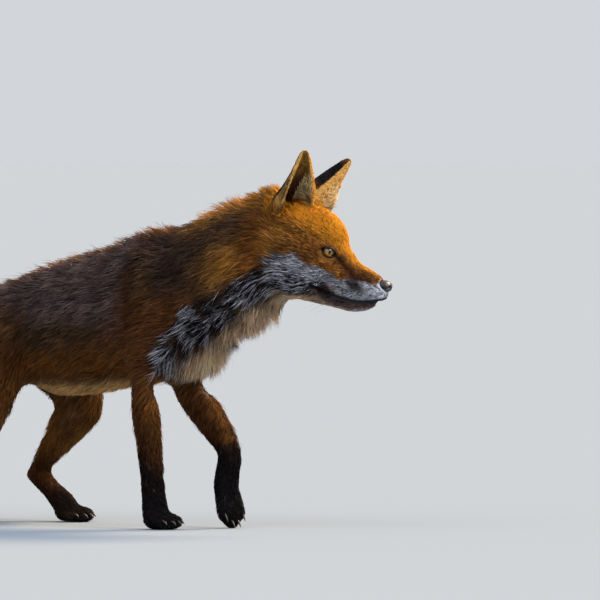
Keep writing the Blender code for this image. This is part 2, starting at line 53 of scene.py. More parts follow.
def srgb(code):
    # an sRGB hex value as linear red, green and blue
    parts = [int(code[i : i + 2], 16) / 255 for i in (1, 3, 5)]
    return np.array([c / 12.92 if c <= 0.04045 else ((c + 0.055) / 1.055) ** 2.4 for c in parts])


def unit(v):
    v = np.asarray(v, float)
    return v / np.maximum(np.linalg.norm(v, axis=-1, keepdims=True), 1e-12)


def ramp(x, low, high):
    # 0 below low, 1 above high, and smooth between; low may be the larger
    t = np.clip((np.asarray(x, float) - low) / (high - low), 0, 1)
    return t * t * (3 - 2 * t)


def mix(a, b, t):
    return a * (1 - t) + b * t


def hill(x, centre, width):
    # 1 at the centre, and next to nothing at twice the width from it
    return np.exp(-(((x - centre) / width) ** 2))


def waves(p, size, seed, count=6):
    # smooth noise from -1 to 1 as a sum of sine waves about this long, in metres
    draw = np.random.default_rng(seed)
    ways = unit(draw.normal(size=(count, 3)))
    total = np.zeros(len(p))
    for way in ways:
        pace = math.tau / size * draw.uniform(0.6, 1.6)
        total += np.sin(p @ way * pace + draw.uniform(0, math.tau))
    return total / count * 1.6


def makeObject(name, points, faces):
    # a mesh object from points and triangles, both as arrays
    mesh = bpy.data.meshes.new(name)
    faces = np.asarray(faces, np.int32)
    mesh.vertices.add(len(points))
    mesh.vertices.foreach_set("co", np.asarray(points, np.float32).ravel())
    mesh.loops.add(faces.size)
    mesh.loops.foreach_set("vertex_index", faces.ravel())
    mesh.polygons.add(len(faces))
    mesh.polygons.foreach_set("loop_start", np.arange(0, faces.size, 3, dtype=np.int32))
    mesh.update(calc_edges=True)
    mesh.shade_smooth()
    made = bpy.data.objects.new(name, mesh)
    bpy.context.scene.collection.objects.link(made)
    return made


def makeBall(name, segments, rings):
    # a sphere of radius 1; Blender gives its faces in another order each run, so they are sorted
    bpy.ops.mesh.primitive_uv_sphere_add(segments=segments, ring_count=rings, radius=1)
    made = bpy.context.object
    made.name = name
    points = [v.co.copy() for v in made.data.vertices]
    faces = [list(face.vertices) for face in made.data.polygons]
    firsts = [face.index(min(face)) for face in faces]
    made.data.clear_geometry()
    made.data.from_pydata(points, [], sorted(face[i:] + face[:i] for face, i in zip(faces, firsts)))
    made.data.shade_smooth()
    return made


def pickOnly(obj):
    bpy.ops.object.select_all(action="DESELECT")
    obj.select_set(True)
    bpy.context.view_layer.objects.active = obj


def applyModifier(obj, kind, **settings):
    pickOnly(obj)
    added = obj.modifiers.new(kind.lower(), kind)
    for name, value in settings.items():
        setattr(added, name, value)
    bpy.ops.object.modifier_apply(modifier=added.name)


def pointsOf(mesh):
    flat = np.empty(len(mesh.vertices) * 3, np.float32)
    mesh.vertices.foreach_get("co", flat)
    return flat.reshape(-1, 3).astype(float)


def setPoints(mesh, points):
    mesh.vertices.foreach_set("co", np.asarray(points, np.float32).ravel())
    mesh.update()


def normalsOf(mesh):
    flat = np.empty(len(mesh.vertices) * 3, np.float32)
    mesh.vertex_normals.foreach_get("vector", flat)
    return flat.reshape(-1, 3).astype(float)


def edgesOf(mesh):
    flat = np.empty(len(mesh.edges) * 2, np.int32)
    mesh.edges.foreach_get("vertices", flat)
    return flat.reshape(-1, 2)


def paintPoints(obj, colours):
    held = obj.data.color_attributes.new("furColour", "FLOAT_COLOR", "POINT")
    rgba = np.concatenate([colours, np.ones((len(colours), 1))], 1)
    held.data.foreach_set("color", rgba.astype(np.float32).ravel())


def unwrap(obj, margin=0.01):
    pickOnly(obj)
    bpy.ops.object.mode_set(mode="EDIT")
    bpy.ops.mesh.select_all(action="SELECT")
    bpy.ops.uv.smart_project(angle_limit=math.radians(66), island_margin=margin)
    bpy.ops.object.mode_set(mode="OBJECT")
    obj.data.uv_layers[0].name = "OFBake"


# where the head stands: its own axes run to the nose, to its left and up through the crown

headPose = {"yaw": 28, "pitch": 12, "eye": Vector((40.8, 20.9, 1.5)) * mm}
headTurn = Matrix.Rotation(math.radians(headPose["yaw"]), 3, "Z") @ Matrix.Rotation(
    math.radians(headPose["pitch"]), 3, "Y"
)
eyeCentres = {side: sum(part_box("eye_" + side), Vector()) / 2 for side in sides}
eyeMiddle = (eyeCentres["left"] + eyeCentres["right"]) / 2
headCentre = eyeMiddle - headTurn @ Vector((headPose["eye"].x, 0, headPose["eye"].z))
headAxes = np.array(headTurn)


def toHead(p):
    return (np.asarray(p) - np.array(headCentre)) @ headAxes


def fromHead(p):
    return np.asarray(p) @ headAxes.T + np.array(headCentre)


# ears: where each one starts, points and opens, in millimetres and in the head's own axes

earLines = {
    "right": {
        "base": (-10.5, -28, 31),
        "points": (0.08, -0.22, 1),
        "opens": (0.83, -0.56, 0.1),
        "length": 85,
        "front": 0,  # 1 where the fur outside the front rim is pale too
        "turn": 0,  # how far that pale fur moves over the ear towards its tip
        "black": (0.14, 0.34),  # how high on the ear the black starts and is full
        "pale": (0.16, 0.32),  # and the pale rim
        "narrow": 0,  # how far the front rim draws in towards the tip
        "fringe": (0.75, -0.65),  # the way of the long pale hair, up and across the cup
    },
    "left": {
        "base": (-17, 27, 32),
        "points": (0.49, 0.2, 0.87),
        "opens": (0.36, 0.93, 0),
        "length": 90,
        "front": 1,
        "turn": 0.35,
        "black": (0.34, 0.56),
        "pale": (0.24, 0.42),
        "narrow": 0.42,
        "fringe": (0.5, 0.6),
    },
}
# half the width of an ear over its height
earWidth = ((0, 0.3, 0.5, 0.7, 0.9, 1.0), (27, 25, 20.5, 15, 8, 4))


def earPlace(points, facing, name):
    # height over the ear's base as a share of its length, how far its skin looks out of the cup,
    # and the way across the cup from -1 at its outer rim to 1 at its front rim
    make = earLines[name]
    up, opens, across = earAxes(name)
    local = toHead(points) / mm - make["base"]
    high = local @ up / make["length"]
    share = local @ across / np.interp(high, *earWidth)
    share = np.where(share > 0, share / (1 - make["narrow"] * ramp(high, 0.25, 0.75)), share)
    return high, (facing @ headAxes) @ opens, share


def earAxes(name):
    up, opens = unit(earLines[name]["points"]), unit(earLines[name]["opens"])
    across = unit(np.cross(up, opens))
    return up, opens, across * np.sign(across[0])


# claws: where each toe starts and ends decides where its claw stands

paws = {
    "forepaw_right": {"knuckle": (231, -63, 11), "points": (1, 0, -0.14), "length": 31},
    "forepaw_left": {"knuckle": (259, 22, 48), "points": (0.25, 0, -1), "length": 50},
    "hindpaw_right": {"knuckle": (-189, -64, 11), "points": (1, 0, -0.14), "length": 34},
    "hindpaw_left": {"knuckle": (-13, 24, 11), "points": (1, 0, -0.14), "length": 34},
}
clawMake = {  # in millimetres
    "spacing": 9.6,
    "outer": 0.82,  # the outer toes' length over the middle ones'
    "inside": 6,  # how far back from the toe's tip a claw starts
    "length": 9.5,
    "droop": 3.5,
    "lowest": 1,
    "arch": 1.2,
    "radii": (1.7, 1.35, 0.7, 0.12),  # at these shares of its length
    "at": (0, 0.5, 0.85, 1),
}


def clawLine(paw, step):
    # root, middle and tip of a claw; step counts the toes from the middle of the paw
    way = Vector(paw["points"]).normalized()
    reach = paw["length"] * mm * (1 if abs(step) < 1 else clawMake["outer"])
    tip = Vector(paw["knuckle"]) * mm + way * reach + Vector((0, step * clawMake["spacing"] * mm, 0))
    down = abs(way.z)  # 1 where the toes hang
    root = tip - way * clawMake["inside"] * mm + Vector((3 * down, 0, 2.5 + 2 * down)) * mm
    end = root + (way + Vector((0.6 * down, 0, 0))).normalized() * clawMake["length"] * mm
    end.z = max(end.z - clawMake["droop"] * mm, clawMake["lowest"] * mm)
    return root, root.lerp(end, 0.55) + Vector((0, 0, clawMake["arch"] * mm)), end


clawLines = [clawLine(paw, step) for paw in paws.values() for step in (-1.5, -0.5, 0.5, 1.5)]


# skin: the flesh nodes fused into one, then let in by the depth of the coat

skinMake = {
    "overlap": 0.35 * mm,  # how far each node swells, so that neighbours join
    "voxel": 2.1 * mm,
    "triangles": 125000,
    "stepRounds": 6,  # smoothing that takes the voxels' steps away
    "bodyRounds": 40,  # and more of it away from the face, ears and paws
    "clawReach": 2 * mm,
    "clawWidth": 3 * mm,
}


def fusedFlesh():
    whole = bmesh.new()
    for name in nodes:
        part = bmesh.new()
        part.from_mesh(nodes[name].data)
        bmesh.ops.remove_doubles(part, verts=part.verts, dist=0.01 * mm)
        part.normal_update()
        for vertex in part.verts:
            vertex.co += vertex.normal * skinMake["overlap"]
            for root, _, end in clawLines if "paw" in name else ():
                along = (end - root).normalized()
                reach = (vertex.co - root).dot(along)
                beside = ((vertex.co - root) - along * reach).length
                if reach > skinMake["clawReach"] and beside < skinMake["clawWidth"]:
                    vertex.co = root  # draws the claw back into its toe
        held = bpy.data.meshes.new("part")
        part.to_mesh(held)
        part.free()
        whole.from_mesh(held)
        bpy.data.meshes.remove(held)
    mesh = bpy.data.meshes.new("skin")
    whole.to_mesh(mesh)
    whole.free()
    made = bpy.data.objects.new("skin", mesh)
    bpy.context.scene.collection.objects.link(made)
    applyModifier(made, "REMESH", mode="VOXEL", voxel_size=skinMake["voxel"])
    return made


def weigh(obj, name, weights):
    # a vertex group from an array of weights, in steps of a twentieth
    group = obj.vertex_groups.new(name=name)
    steps = np.round(np.clip(weights, 0, 1) * 20).astype(int)
    for step in range(1, 21):
        group.add(np.flatnonzero(steps == step).tolist(), step / 20, "REPLACE")
    return group.name


def fleshSurface():
    # a search tree over all the flesh nodes, and the node that each of its triangles belongs to
    corners, triangles, owners = [], [], []
    for index, name in enumerate(fleshNodes):
        mesh = nodes[name].data
        start = len(corners)
        corners += [v.co for v in mesh.vertices]
        triangles += [[start + i for i in face.vertices] for face in mesh.polygons]
        owners += [index] * len(mesh.polygons)
    return BVHTree.FromPolygons(corners, triangles), owners


fleshTree, fleshOwners = fleshSurface()


def nodeAt(points):
    # the flesh node nearest to each point, as an index into fleshNodes
    return np.array([fleshOwners[fleshTree.find_nearest(Vector(p))[2]] for p in points])


def isNode(labels, *words):
    wanted = [i for i, name in enumerate(fleshNodes) if name.startswith(words)]
    return np.isin(labels, wanted)


def spread(values, edges, rounds):
    # evens values out along the surface, by averaging each vertex with its neighbours
    values = np.asarray(values, float)
    flat = values.reshape(len(values), -1)
    ends = np.concatenate([edges[:, 0], edges[:, 1]])
    others = np.concatenate([edges[:, 1], edges[:, 0]])
    counts = np.maximum(np.bincount(ends, minlength=len(flat)), 1)
    for _ in range(rounds):
        moved = [np.bincount(ends, flat[others, i], len(flat)) / counts for i in range(flat.shape[1])]
        flat = np.stack(moved, 1)
    return flat.reshape(values.shape)


skin = fusedFlesh()
points = pointsOf(skin.data)
inHead = toHead(points)
labels = nodeAt(points)
onFace = ramp(inHead[:, 0], 8 * mm, 30 * mm) * isNode(labels, "head", "lower_jaw")
onEar = isNode(labels, "ear") * 1.0
onPaw = isNode(labels, "forepaw", "hindpaw") * 1.0
fine = np.maximum.reduce([onFace, onEar, onPaw * 0.7])
applyModifier(skin, "SMOOTH", factor=0.5, iterations=skinMake["stepRounds"])
applyModifier(
    skin,
    "SMOOTH",
    factor=0.5,
    iterations=skinMake["bodyRounds"],
    vertex_group=weigh(skin, "body", 1 - spread(fine, edgesOf(skin.data), 8)),
)
applyModifier(
    skin,
    "DECIMATE",
    ratio=skinMake["triangles"] / (2 * len(skin.data.polygons)),
    vertex_group=weigh(skin, "coarse", 1 - 0.93 * fine),
    vertex_group_factor=1.0,
)
skin.vertex_groups.clear()
print("skin: fused,", len(skin.data.polygons), "faces")


# depth of the coat over the skin, in millimetres, by part

coatDepth = {
    "trunk": 15,
    "neck": 16,
    "head": 6,
    "lower_jaw": 2.2,
    "ear": 0.7,
    "foreleg": 5,
    "forepaw": 2.2,
    "thigh": 9,
    "shank": 6,
    "hindpaw": 2.2,
    "tail": 24,
}
faceDepth = {"muzzle": 1.3, "brow": 2.6, "cheek": 7, "ruff": 13, "nape": 6.0}
thinDepth = {"belly": 8.0, "tip": 12.0}


def byPart(table, labels):
    values = np.zeros(len(labels))
    for word, value in table.items():
        values[isNode(labels, word)] = value
    return values


def depthOver(points, labels):
    a, _, c = (toHead(points) / mm).T
    depth = byPart(coatDepth, labels)
    face = faceDepth["brow"] + (faceDepth["muzzle"] - faceDepth["brow"]) * ramp(a, 48, 72)
    cheek = ramp(a, 34, 0) * ramp(c, 6, -20)
    face = mix(face, faceDepth["cheek"], cheek)
    face = mix(face, faceDepth["ruff"], ramp(a, 8, -22) * ramp(c, 26, 0))
    face = mix(face, faceDepth["nape"], ramp(a, 4, -30) * ramp(c, 0, 26))
    onHead = isNode(labels, "head")
    depth[onHead] = face[onHead]
    belly = isNode(labels, "trunk") * ramp(points[:, 2], 0.2, 0.165) * ramp(points[:, 0], 0.19, 0.14)
    depth = mix(depth, thinDepth["belly"], belly)
    tip = isNode(labels, "tail") * ramp(points[:, 0], -0.40, -0.47)
    return mix(depth, thinDepth["tip"], tip) * mm


# the brush hangs on a thin core, so its skin is drawn in towards a line through its middle
tailCore = {
    "x": (-0.492, -0.444, -0.394, -0.334, -0.269, -0.204, -0.149, -0.112),
    "y": (-0.008, -0.009, -0.010, -0.012, -0.015, -0.017, -0.019, -0.020),
    "z": (0.188, 0.187, 0.191, 0.202, 0.220, 0.240, 0.256, 0.262),
    "reach": (0.08, 0.08, 0.08, 0.08, 0.08, 0.06, 0.045, 0.038),  # skin further off isn't the tail's
    "share": 0.3,  # the core's width over the brush's
    "bare": 0.055,  # how much of the tip is hair alone
}


def tailCentre(x):
    y, z = (np.interp(x, tailCore["x"], tailCore[axis]) for axis in "yz")
    return np.stack([x, y, z], 1)


def letIn(points, normals, labels, edges):
    depth = spread(depthOver(points, labels), edges, 14)
    onTail = spread(isNode(labels, "tail") * 1.0, edges, 10)
    share = mix(1.0, tailCore["share"], onTail * ramp(points[:, 0], -0.1, -0.17))
    depth = depth * (1 - ramp(onTail, 0.3, 0.9))
    rounds = 12
    soft = (0.03 + 0.75 * ramp(depth, 2 * mm, 9 * mm))[:, None]
    for _ in range(rounds):
        points = points - normals * (depth / rounds)[:, None]
        points = mix(points, spread(points, edges, 2), soft)
        setPoints(skin.data, points)
        normals = normalsOf(skin.data)
    centre = tailCentre(points[:, 0])
    away = np.linalg.norm(points - centre, axis=1)
    away = away / np.interp(points[:, 0], tailCore["x"], tailCore["reach"])
    share = mix(1.0, share, ramp(away, 1.15, 0.85))
    points = centre + (points - centre) * share[:, None]
    points[:, 0] += tailCore["bare"] * ramp(points[:, 0], -0.40, -0.4845)
    x, _, z = points.T
    root = ramp(x, -0.06, -0.1) * ramp(x, -0.2, -0.16) * ramp(z, 0.17, 0.2)
    points = mix(points, spread(points, edges, 12), root[:, None])
    # the lower ends of the ear rims run out into the head
    ends = np.zeros(len(points))
    aroundEars = isNode(labels, "ear", "head")
    for name in earLines:
        high, _, share = earPlace(points, normals, name)
        near = (np.sign(toHead(points)[:, 1]) == sides[name]) & aroundEars & (high > -0.25)
        share = np.abs(share)
        ends += near * ramp(high, 0.24, 0.12) * ramp(share, 0.55, 0.8) * (share < 1.3)
    points = mix(points, spread(points, edges, 22), np.clip(spread(ends, edges, 2), 0, 1)[:, None])
    # the sides of their bases lie closer to the head
    local = toHead(points) / mm
    for name, make in earLines.items():
        high = earPlace(points, normals, name)[0]
        mine = (np.sign(local[:, 1]) == sides[name]) & (local[:, 2] > 15)
        over = np.maximum(np.abs(local[:, 1]) - 39, 0) * (mine & aroundEars) * ramp(high, 0.35, 0.05)
        local[:, 1] -= 0.7 * sides[name] * over
        # and the front rim draws in towards the tip
        across = earAxes(name)[2]
        over = np.maximum((local - make["base"]) @ across, 0) * mine
        local -= (over * make["narrow"] * ramp(high, 0.25, 0.75))[:, None] * across
    return fromHead(local * mm)


points = pointsOf(skin.data)
edges = edgesOf(skin.data)
points = letIn(points, normalsOf(skin.data), nodeAt(points), edges)
setPoints(skin.data, points)
print("skin: let in under the coat")


# face: lids, mouth and whisker pads worked into the skin, in millimetres and in the head's own axes

eyeMake = {
    "radius": 9.2,
    "halfLength": 9.2,  # of the opening between the lids
    "halfHeight": 5.1,
    "tilt": 14,  # in degrees
    "faces": (0.55, 0.83, 0.06),
    "lid": 0.9,  # how far the lids stand over the ball
    "sunk": 4.2,  # how deep the skin passes behind the ball
}
mouth = {"corner": 33, "lowest": (74, -50), "arc": 100, "depth": 2.0, "width": 1.3}
refineReach = (15, 12)  # the skin is split finer this far around each eye, and a third of it by the mouth


def eyeAxes(side):
    # rows: towards the back corner of the eye, up along the lids, and out of the head
    out = Vector((eyeMake["faces"][0], eyeMake["faces"][1] * side, eyeMake["faces"][2])).normalized()
    along = Vector((0, 0, 1)).cross(out).normalized() * side
    up = Vector((0, 0, 1)) - out * out.z
    turn = Matrix.Rotation(math.radians(eyeMake["tilt"]) * side, 3, out)
    return np.array([turn @ along, turn @ up.normalized(), out])


def inEye(local, side):
    # points in head axes as seen from an eye: along its slit, across it and outwards, in millimetres
    centre = np.array((headPose["eye"].x, headPose["eye"].y * side, headPose["eye"].z))
    return (local - centre) @ eyeAxes(side).T / mm


def slitEdge(along):
    # half the height of the opening between the lids, at this place along it
    t = np.clip(np.abs(along) / eyeMake["halfLength"], 0, 1)
    return eyeMake["halfHeight"] * (1 - t**2) ** 0.8


def mouthLine(a):
    across = np.clip(a - mouth["lowest"][0], -99, 99)
    return mouth["lowest"][1] + mouth["arc"] - np.sqrt(mouth["arc"] ** 2 - across**2)


def refine(obj, chosen):
    # splits the edges between chosen vertices, and makes all faces triangles again
    pickOnly(obj)
    mesh = obj.data
    mesh.vertices.foreach_set("select", chosen)
    flat = edgesOf(mesh)
    mesh.edges.foreach_set("select", chosen[flat[:, 0]] & chosen[flat[:, 1]])
    mesh.polygons.foreach_set("select", [all(chosen[i] for i in f.vertices) for f in mesh.polygons])
    bpy.ops.object.mode_set(mode="EDIT")
    bpy.ops.mesh.select_mode(type="VERT")
    bpy.ops.mesh.subdivide(number_cuts=1, smoothness=0.6)
    bpy.ops.mesh.select_all(action="SELECT")
    bpy.ops.mesh.quads_convert_to_tris()
    bpy.ops.object.mode_set(mode="OBJECT")


def nearEye(points, reach):
    local = toHead(points)
    found = np.zeros(len(points), bool)
    for side in sides.values():
        seen = inEye(local, side)
        found |= (np.hypot(seen[:, 0], seen[:, 1] * 1.2) < reach) & (seen[:, 2] > 0)
    return found


def nearMouth(points, reach):
    a, _, c = (toHead(points) / mm).T
    return (a > 28) & (a < 124) & (np.abs(c - mouthLine(a)) < reach)


for reach in refineReach:
    points = pointsOf(skin.data)
    refine(skin, nearEye(points, reach) | nearMouth(points, reach / 3))


noseMake = {
    "centre": (111.4, 0, -24.7),
    "size": (10.0, 10.6, 7.3),
    "nostril": (4.8, -25.2),  # to the side and up
    "pit": 3.6,
    "grain": 1.3,  # pebbles to a millimetre
    "bump": 0.3 * mm,
}


def overNose(local):
    # below 1 within the leather of the nose, and above it outside
    return np.linalg.norm((local / mm - noseMake["centre"]) / noseMake["size"], axis=1)


def carveFace(points, normals):
    local = toHead(points)
    for side in sides.values():
        along, across, out = inEye(local, side).T
        near = ramp(np.hypot(along, across * 1.3), 16, 9) * (out > 0)
        ball = np.sqrt(np.maximum(eyeMake["radius"] ** 2 - along**2 - across**2, 4))
        openness = np.abs(across) / np.maximum(slitEdge(along), 0.4)
        brow = 1.2 * hill(across, 9.5, 3.5) * hill(along, 0, 11)
        lid = ball + eyeMake["lid"] + 0.5 * (across > 0)
        hug = hill(np.maximum(np.abs(across) - slitEdge(along), 0), 0, 2.6) * ramp(np.abs(along), 15, 9)
        target = mix(out + brow, lid, hug)
        inside = ramp(openness, 1.06, 0.9) * (np.abs(along) < eyeMake["halfLength"])
        target = mix(target, ball - eyeMake["sunk"], inside)
        move = (target - out) * near
        local += move[:, None] * mm * eyeAxes(side)[2]
    a, b, c = (local / mm).T
    ways = normals @ headAxes
    gap = c - mouthLine(a)
    onLine = ramp(a, mouth["corner"] - 2, mouth["corner"] + 8)
    groove = -mouth["depth"] * hill(gap, 0, mouth["width"]) * onLine
    lip = 0.7 * hill(gap, 3.2, 2.2) * onLine
    pad = 1.3 * hill(a, 98, 13) * hill(c, -33, 8) * hill(np.abs(b), 14, 7)
    cleft = -0.9 * hill(b, 0, 1.1) * ramp(a, 112, 116) * ramp(c, -30, -33) * ramp(c, -43, -40)
    local += (groove + lip + pad + cleft)[:, None] * mm * ways
    # the skin passes inside the leather of the nose
    local[:, 0] -= ramp(overNose(local), 1.06, 0.9) * np.maximum(a - 107, 0) * 0.9 * mm
    return fromHead(local)


points = pointsOf(skin.data)
setPoints(skin.data, carveFace(points, normalsOf(skin.data)))
print("skin: face worked,", len(skin.data.polygons), "faces")


# markings: one function paints skin and coat alike, from places on the body

# sRGB of each stretch of fur, as dry hair shows it under soft light
furShade = {
    "orange": "#f6ac2e",
    "gold": "#c48c40",
    "rust": "#ab7030",
    "brown": "#80502a",
    "umber": "#42230f",
    "black": "#131116",
    "pale": "#cfd3e2",
    "slate": "#312d32",
    "cream": "#ffdeb8",
    "ochre": "#a67c40",
    "saddle": "#766464",
    "mane": "#5a453d",
    "flank": "#624731",
    "shoulder": "#784c29",
    # partly painted light: the belly's pale fur, brightened as if backlit
    "belly": "#ffd28c",
    "under": "#86500f",
    "leg": "#6e4322",
    "tip": "#ece6dc",
    "rim": "#f2c272",
    "fringe": "#ffe6b0",
    "inner": "#70501c",
    # painted shade deep in an ear's cup
    "cupShade": "#42210a",
}
shade = {name: srgb(code) for name, code in furShade.items()}
# heights of the lines that part the colours, in millimetres: on the head by its own axes,
# then on the body along its length
cheekLine = (
    (-60, -34), (-35, -22), (-18, -13), (-2, -9), (11, -12), (19, -16),
    (41, -20), (64, -27), (90, -23), (103, -26), (112, -23),
)
bibLine = (
    (212, 120), (220, 170), (224, 200), (233, 224), (255, 242),
    (264, 263), (281, 270), (306, 274), (332, 289), (365, 312),
)
throatLine = ((200, 154), (228, 165), (270, 189), (307, 217), (346, 247), (385, 270))
tailLine = ((-490, 188), (-100, 262))
# how far to the left the middle of the body lies
midLine = (
    (-490, -8), (-100, -20), (209, -20), (253, -18), (293, -12),
    (328, -1), (355, 9), (375, 17), (480, 60),
)


def lineAt(line, x):
    xs, ys = zip(*line)
    return np.interp(x, xs, ys)


def paint(points, ear, facing):
    # colour and grizzle at points; ear is 1 on an ear, and facing is which way the skin there looks
    x, y, z = (points / mm).T
    local = toHead(points)
    a, b, c = (local / mm).T  # towards the nose, to the left and up through the crown
    side = np.abs(b)
    strands, rough, soft = waves(points, 0.005, 21), waves(points, 0.016, 3), waves(points, 0.07, 4)
    colour = np.tile(shade["flank"], (len(x), 1))
    grizzle = np.full(len(x), 0.42)

    def lay(name, mask, grain):
        # one layer: its colour, where it lies and how grizzled it is
        nonlocal colour, grizzle
        mask = np.clip(mask, 0, 1)
        colour = mix(colour, shade[name], mask[:, None])
        grizzle = mix(grizzle, grain, mask)

    mid = np.abs(y - lineAt(midLine, x))
    bands = waves(points * (1, 1, 0.25), 0.045, 6)
    lay("saddle", ramp(z + 10 * soft + 0.10 * (x - 60), 222, 268), 0.5)
    lay("shoulder", ramp(x, 150, 185) * ramp(z + 8 * soft, 320, 285), 0.2)
    lay("mane", ramp(x + 8 * bands, 165, 200) * ramp(z + 8 * soft, 255, 300) * ramp(x, 360, 320), 0.45)
    lay("mane", 0.5 * hill(x, 120, 22) * ramp(z, 260, 300), 0.3)
    lay("under", 0.8 * ramp(z + 4 * soft - 0.04 * x, 216, 190) * ramp(x, 215, 170), 0.3)
    # the belly's own pale fur, painted brighter as light glowing through its lower fringe
    lay("belly", ramp(z + 3 * rough - 0.04 * x, 174, 160) * ramp(x, 215, 170), 0.2)
    lay("brown", 0.75 * hill(x, 150, 36) * hill(z, 212, 34), 0.2)
    # painted shade in the groove behind the shoulder
    lay("umber", 0.55 * hill(x - 0.12 * (z - 240), 176, 14) * ramp(z, 190, 240), 0.25)
    lay("ochre", 0.5 * hill(x, 214, 16) * hill(z, 292, 20), 0.3)
    # painted light: the upward-facing ridge of the back and neck is warmed with rust, as if lit from
    # above
    litRidge = ramp(facing[:, 2], 0.5, 0.9) * ramp(mid, 26, 8)
    lay("rust", 0.7 * litRidge * ramp(x, 380, 250) * ramp(x, -120, -40), 0.3)
    lay("leg", ramp(z + 4 * rough, 190, 160) * ramp(mid, 18, 30), 0.2)
    lay("leg", ramp(x + 14 * soft, 25, -75) * ramp(z + 8 * soft, 268, 215), 0.22)
    lay("rust", 0.6 * ramp(x, 10, -30) * ramp(y, -20, 10) * ramp(z, 60, 90), 0.25)
    lay("rust", 0.5 * ramp(facing[:, 0], 0.3, 0.9) * ramp(z, 190, 165) * ramp(z, 60, 100), 0.2)
    farThigh = ramp(x, 25, -5) * ramp(y, -10, 10) * ramp(z, 60, 110)
    lay("gold", 0.7 * ramp(facing[:, 0], 0.1, 0.7) * farThigh, 0.25)
    # neck: tan behind the cheek, dark along its upper side, warm again behind the ears
    lay("mane", ramp(x, 200, 235) * ramp(z - 0.42 * (x - 209) + 5 * rough, 262, 290), 0.35)
    lay("gold", hill(x, 328, 38) * hill(z - 0.25 * (x - 326), 312, 30), 0.25)
    lay("rust", ramp(x, 325, 352) * ramp(z, 250, 285), 0.25)
    lay("brown", 0.6 * hill(x, 352, 9) * ramp(z, 300, 320), 0.3)
    # painted light: gold on the upward-facing nape, as if lit from above
    nape = ramp(facing[:, 2] + 0.1 * rough, 0.3, 0.8) * ramp(mid, 44, 20)
    lay("gold", 0.95 * nape * ramp(x, 225, 280) * ramp(x, 400, 370), 0.3)
    # legs darken down to black paws, most along the front
    low = ramp(z + 5 * rough + 14 * facing[:, 0], 112, 60)
    lay("umber", 0.7 * ramp(z + 6 * rough, 140, 90) * ramp(x, 180, 220), 0.12)
    lay("umber", 0.5 * ramp(z + 6 * rough, 100, 50) * ramp(x, 60, 20), 0.12)
    lay("black", 0.9 * low * ramp(z, 110, 70) * ramp(x, 180, 210), 0.08)
    lay("black", 0.9 * ramp(z + 4 * rough, 104, 92) * ramp(x, 240, 255) * ramp(y, -15, 0), 0.08)
    lay("black", 0.85 * ramp(z + 4 * rough, 55, 25), 0.08)
    # bib and throat
    front = ramp(x, 212, 226) * ramp(a, 34, 22)
    bib = front * ramp(lineAt(bibLine, x) - z + 7 * rough, -5, 7) * ramp(z, 145, 170)
    lay("slate", bib, 0.95)
    lay("umber", 0.55 * bib * ramp(waves(points, 0.03, 12), -0.1, 0.7) * ramp(x, 225, 245), 0.6)
    lay("pale", 0.3 * bib * hill(x, 228, 14) * hill(z, 196, 22), 0.9)
    under = ramp(lineAt(throatLine, x) - z + 4 * rough, -16, 2) * ramp(z + 4 * strands, 164, 180)
    lay("cream", ramp(x, 205, 225) * ramp(a, 20, 8) * under * ramp(mid, 54, 40), 0.2)
    # painted light: gold along the lowest middle of the body, as backlit hair glowing
    lay("gold", 0.35 * ramp(z, 172, 158) * ramp(mid, 22, 12) * ramp(x, -60, -20) * ramp(x, 190, 150), 0.2)
    # head: bright over the crown, browner on temple and cheek
    onHead = ramp(a + 0.35 * (c + 20), -44, -24) * ramp(x, 352, 366)
    line = lineAt(cheekLine, a)
    below = ramp(line - c + 3.0 * rough + 1.5 * strands, -3, 3)
    lay("rust", onHead * (1 - below * ramp(a, 60, 36)), 0.6)
    lay("orange", onHead * ramp(c + 0.3 * a - 0.3 * side + 3 * rough, 8, 30), 0.1)
    lay("orange", 0.7 * onHead * ramp(a, 44, 54) * ramp(side, 15, 8) * ramp(c, -18, -8), 0.12)
    lay("brown", 0.15 * onHead * hill(a, 20, 22) * hill(c, 14, 12), 0.4)
    lay("brown", 0.6 * onHead * hill(a, 14, 24) * hill(c, -2, 8), 0.5)
    lay("gold", 0.85 * onHead * hill(a, -20, 16) * hill(c, 4, 20), 0.35)
    lay("leg", 0.85 * onHead * ramp(a, 58, 70) * ramp(c, -4, -13) * ramp(side, 4, 10), 0.4)
    lay("gold", 0.7 * onHead * hill(line - c, -4, 2.5) * ramp(a, 14, 0), 0.3)
    over = hill(c - line, 6, 5) * ramp(a, -25, -5) * ramp(a, 40, 25)
    lay("brown", 0.5 * onHead * over, 0.5)
    lay("umber", 0.35 * onHead * over, 0.5)
    lay("brown", 0.6 * onHead * ramp(a, 96, 106), 0.3)
    lay("slate", onHead * below * ramp(a, 60, 36), 0.9)
    streaks = 0.5 + 0.5 * waves(points, 0.012, 9)
    lay("pale", onHead * below * ramp(a, -50, 8) * ramp(c - line, -26, -6) * (0.5 + 0.5 * streaks), 0.75)
    lay("pale", onHead * below * ramp(a, 48, 60) * (0.75 + 0.25 * streaks), 0.85)
    lay("cream", onHead * ramp(a, 50, 10) * ramp(c, -50, -58) * ramp(side, 34, 20), 0.25)
    chin = ramp(a, 26, 40) * ramp(mouthLine(a) - c, 1, 4) * ramp(c, -75, -66)
    lay("saddle", chin, 0.4)
    lay("umber", 0.6 * chin * ramp(c - mouthLine(a), -9, -4), 0.4)
    lay("cream", 0.7 * chin * ramp(c - mouthLine(a), -8, -13), 0.3)
    lay("pale", 0.8 * chin * ramp(a, 70, 100) * ramp(c - mouthLine(a) + 2 * strands, -6, -10), 0.5)
    tear = hill(c + 0.8 * (a - 60), -7, 5) * ramp(a, 52, 58) * ramp(a, 90, 76)
    lay("umber", 0.95 * onHead * tear * ramp(side, 8, 13), 0.15)
    lay("umber", 0.75 * onHead * ramp(a, 66, 80) * ramp(a, 108, 98) * hill(c - line, 2, 3.6), 0.3)
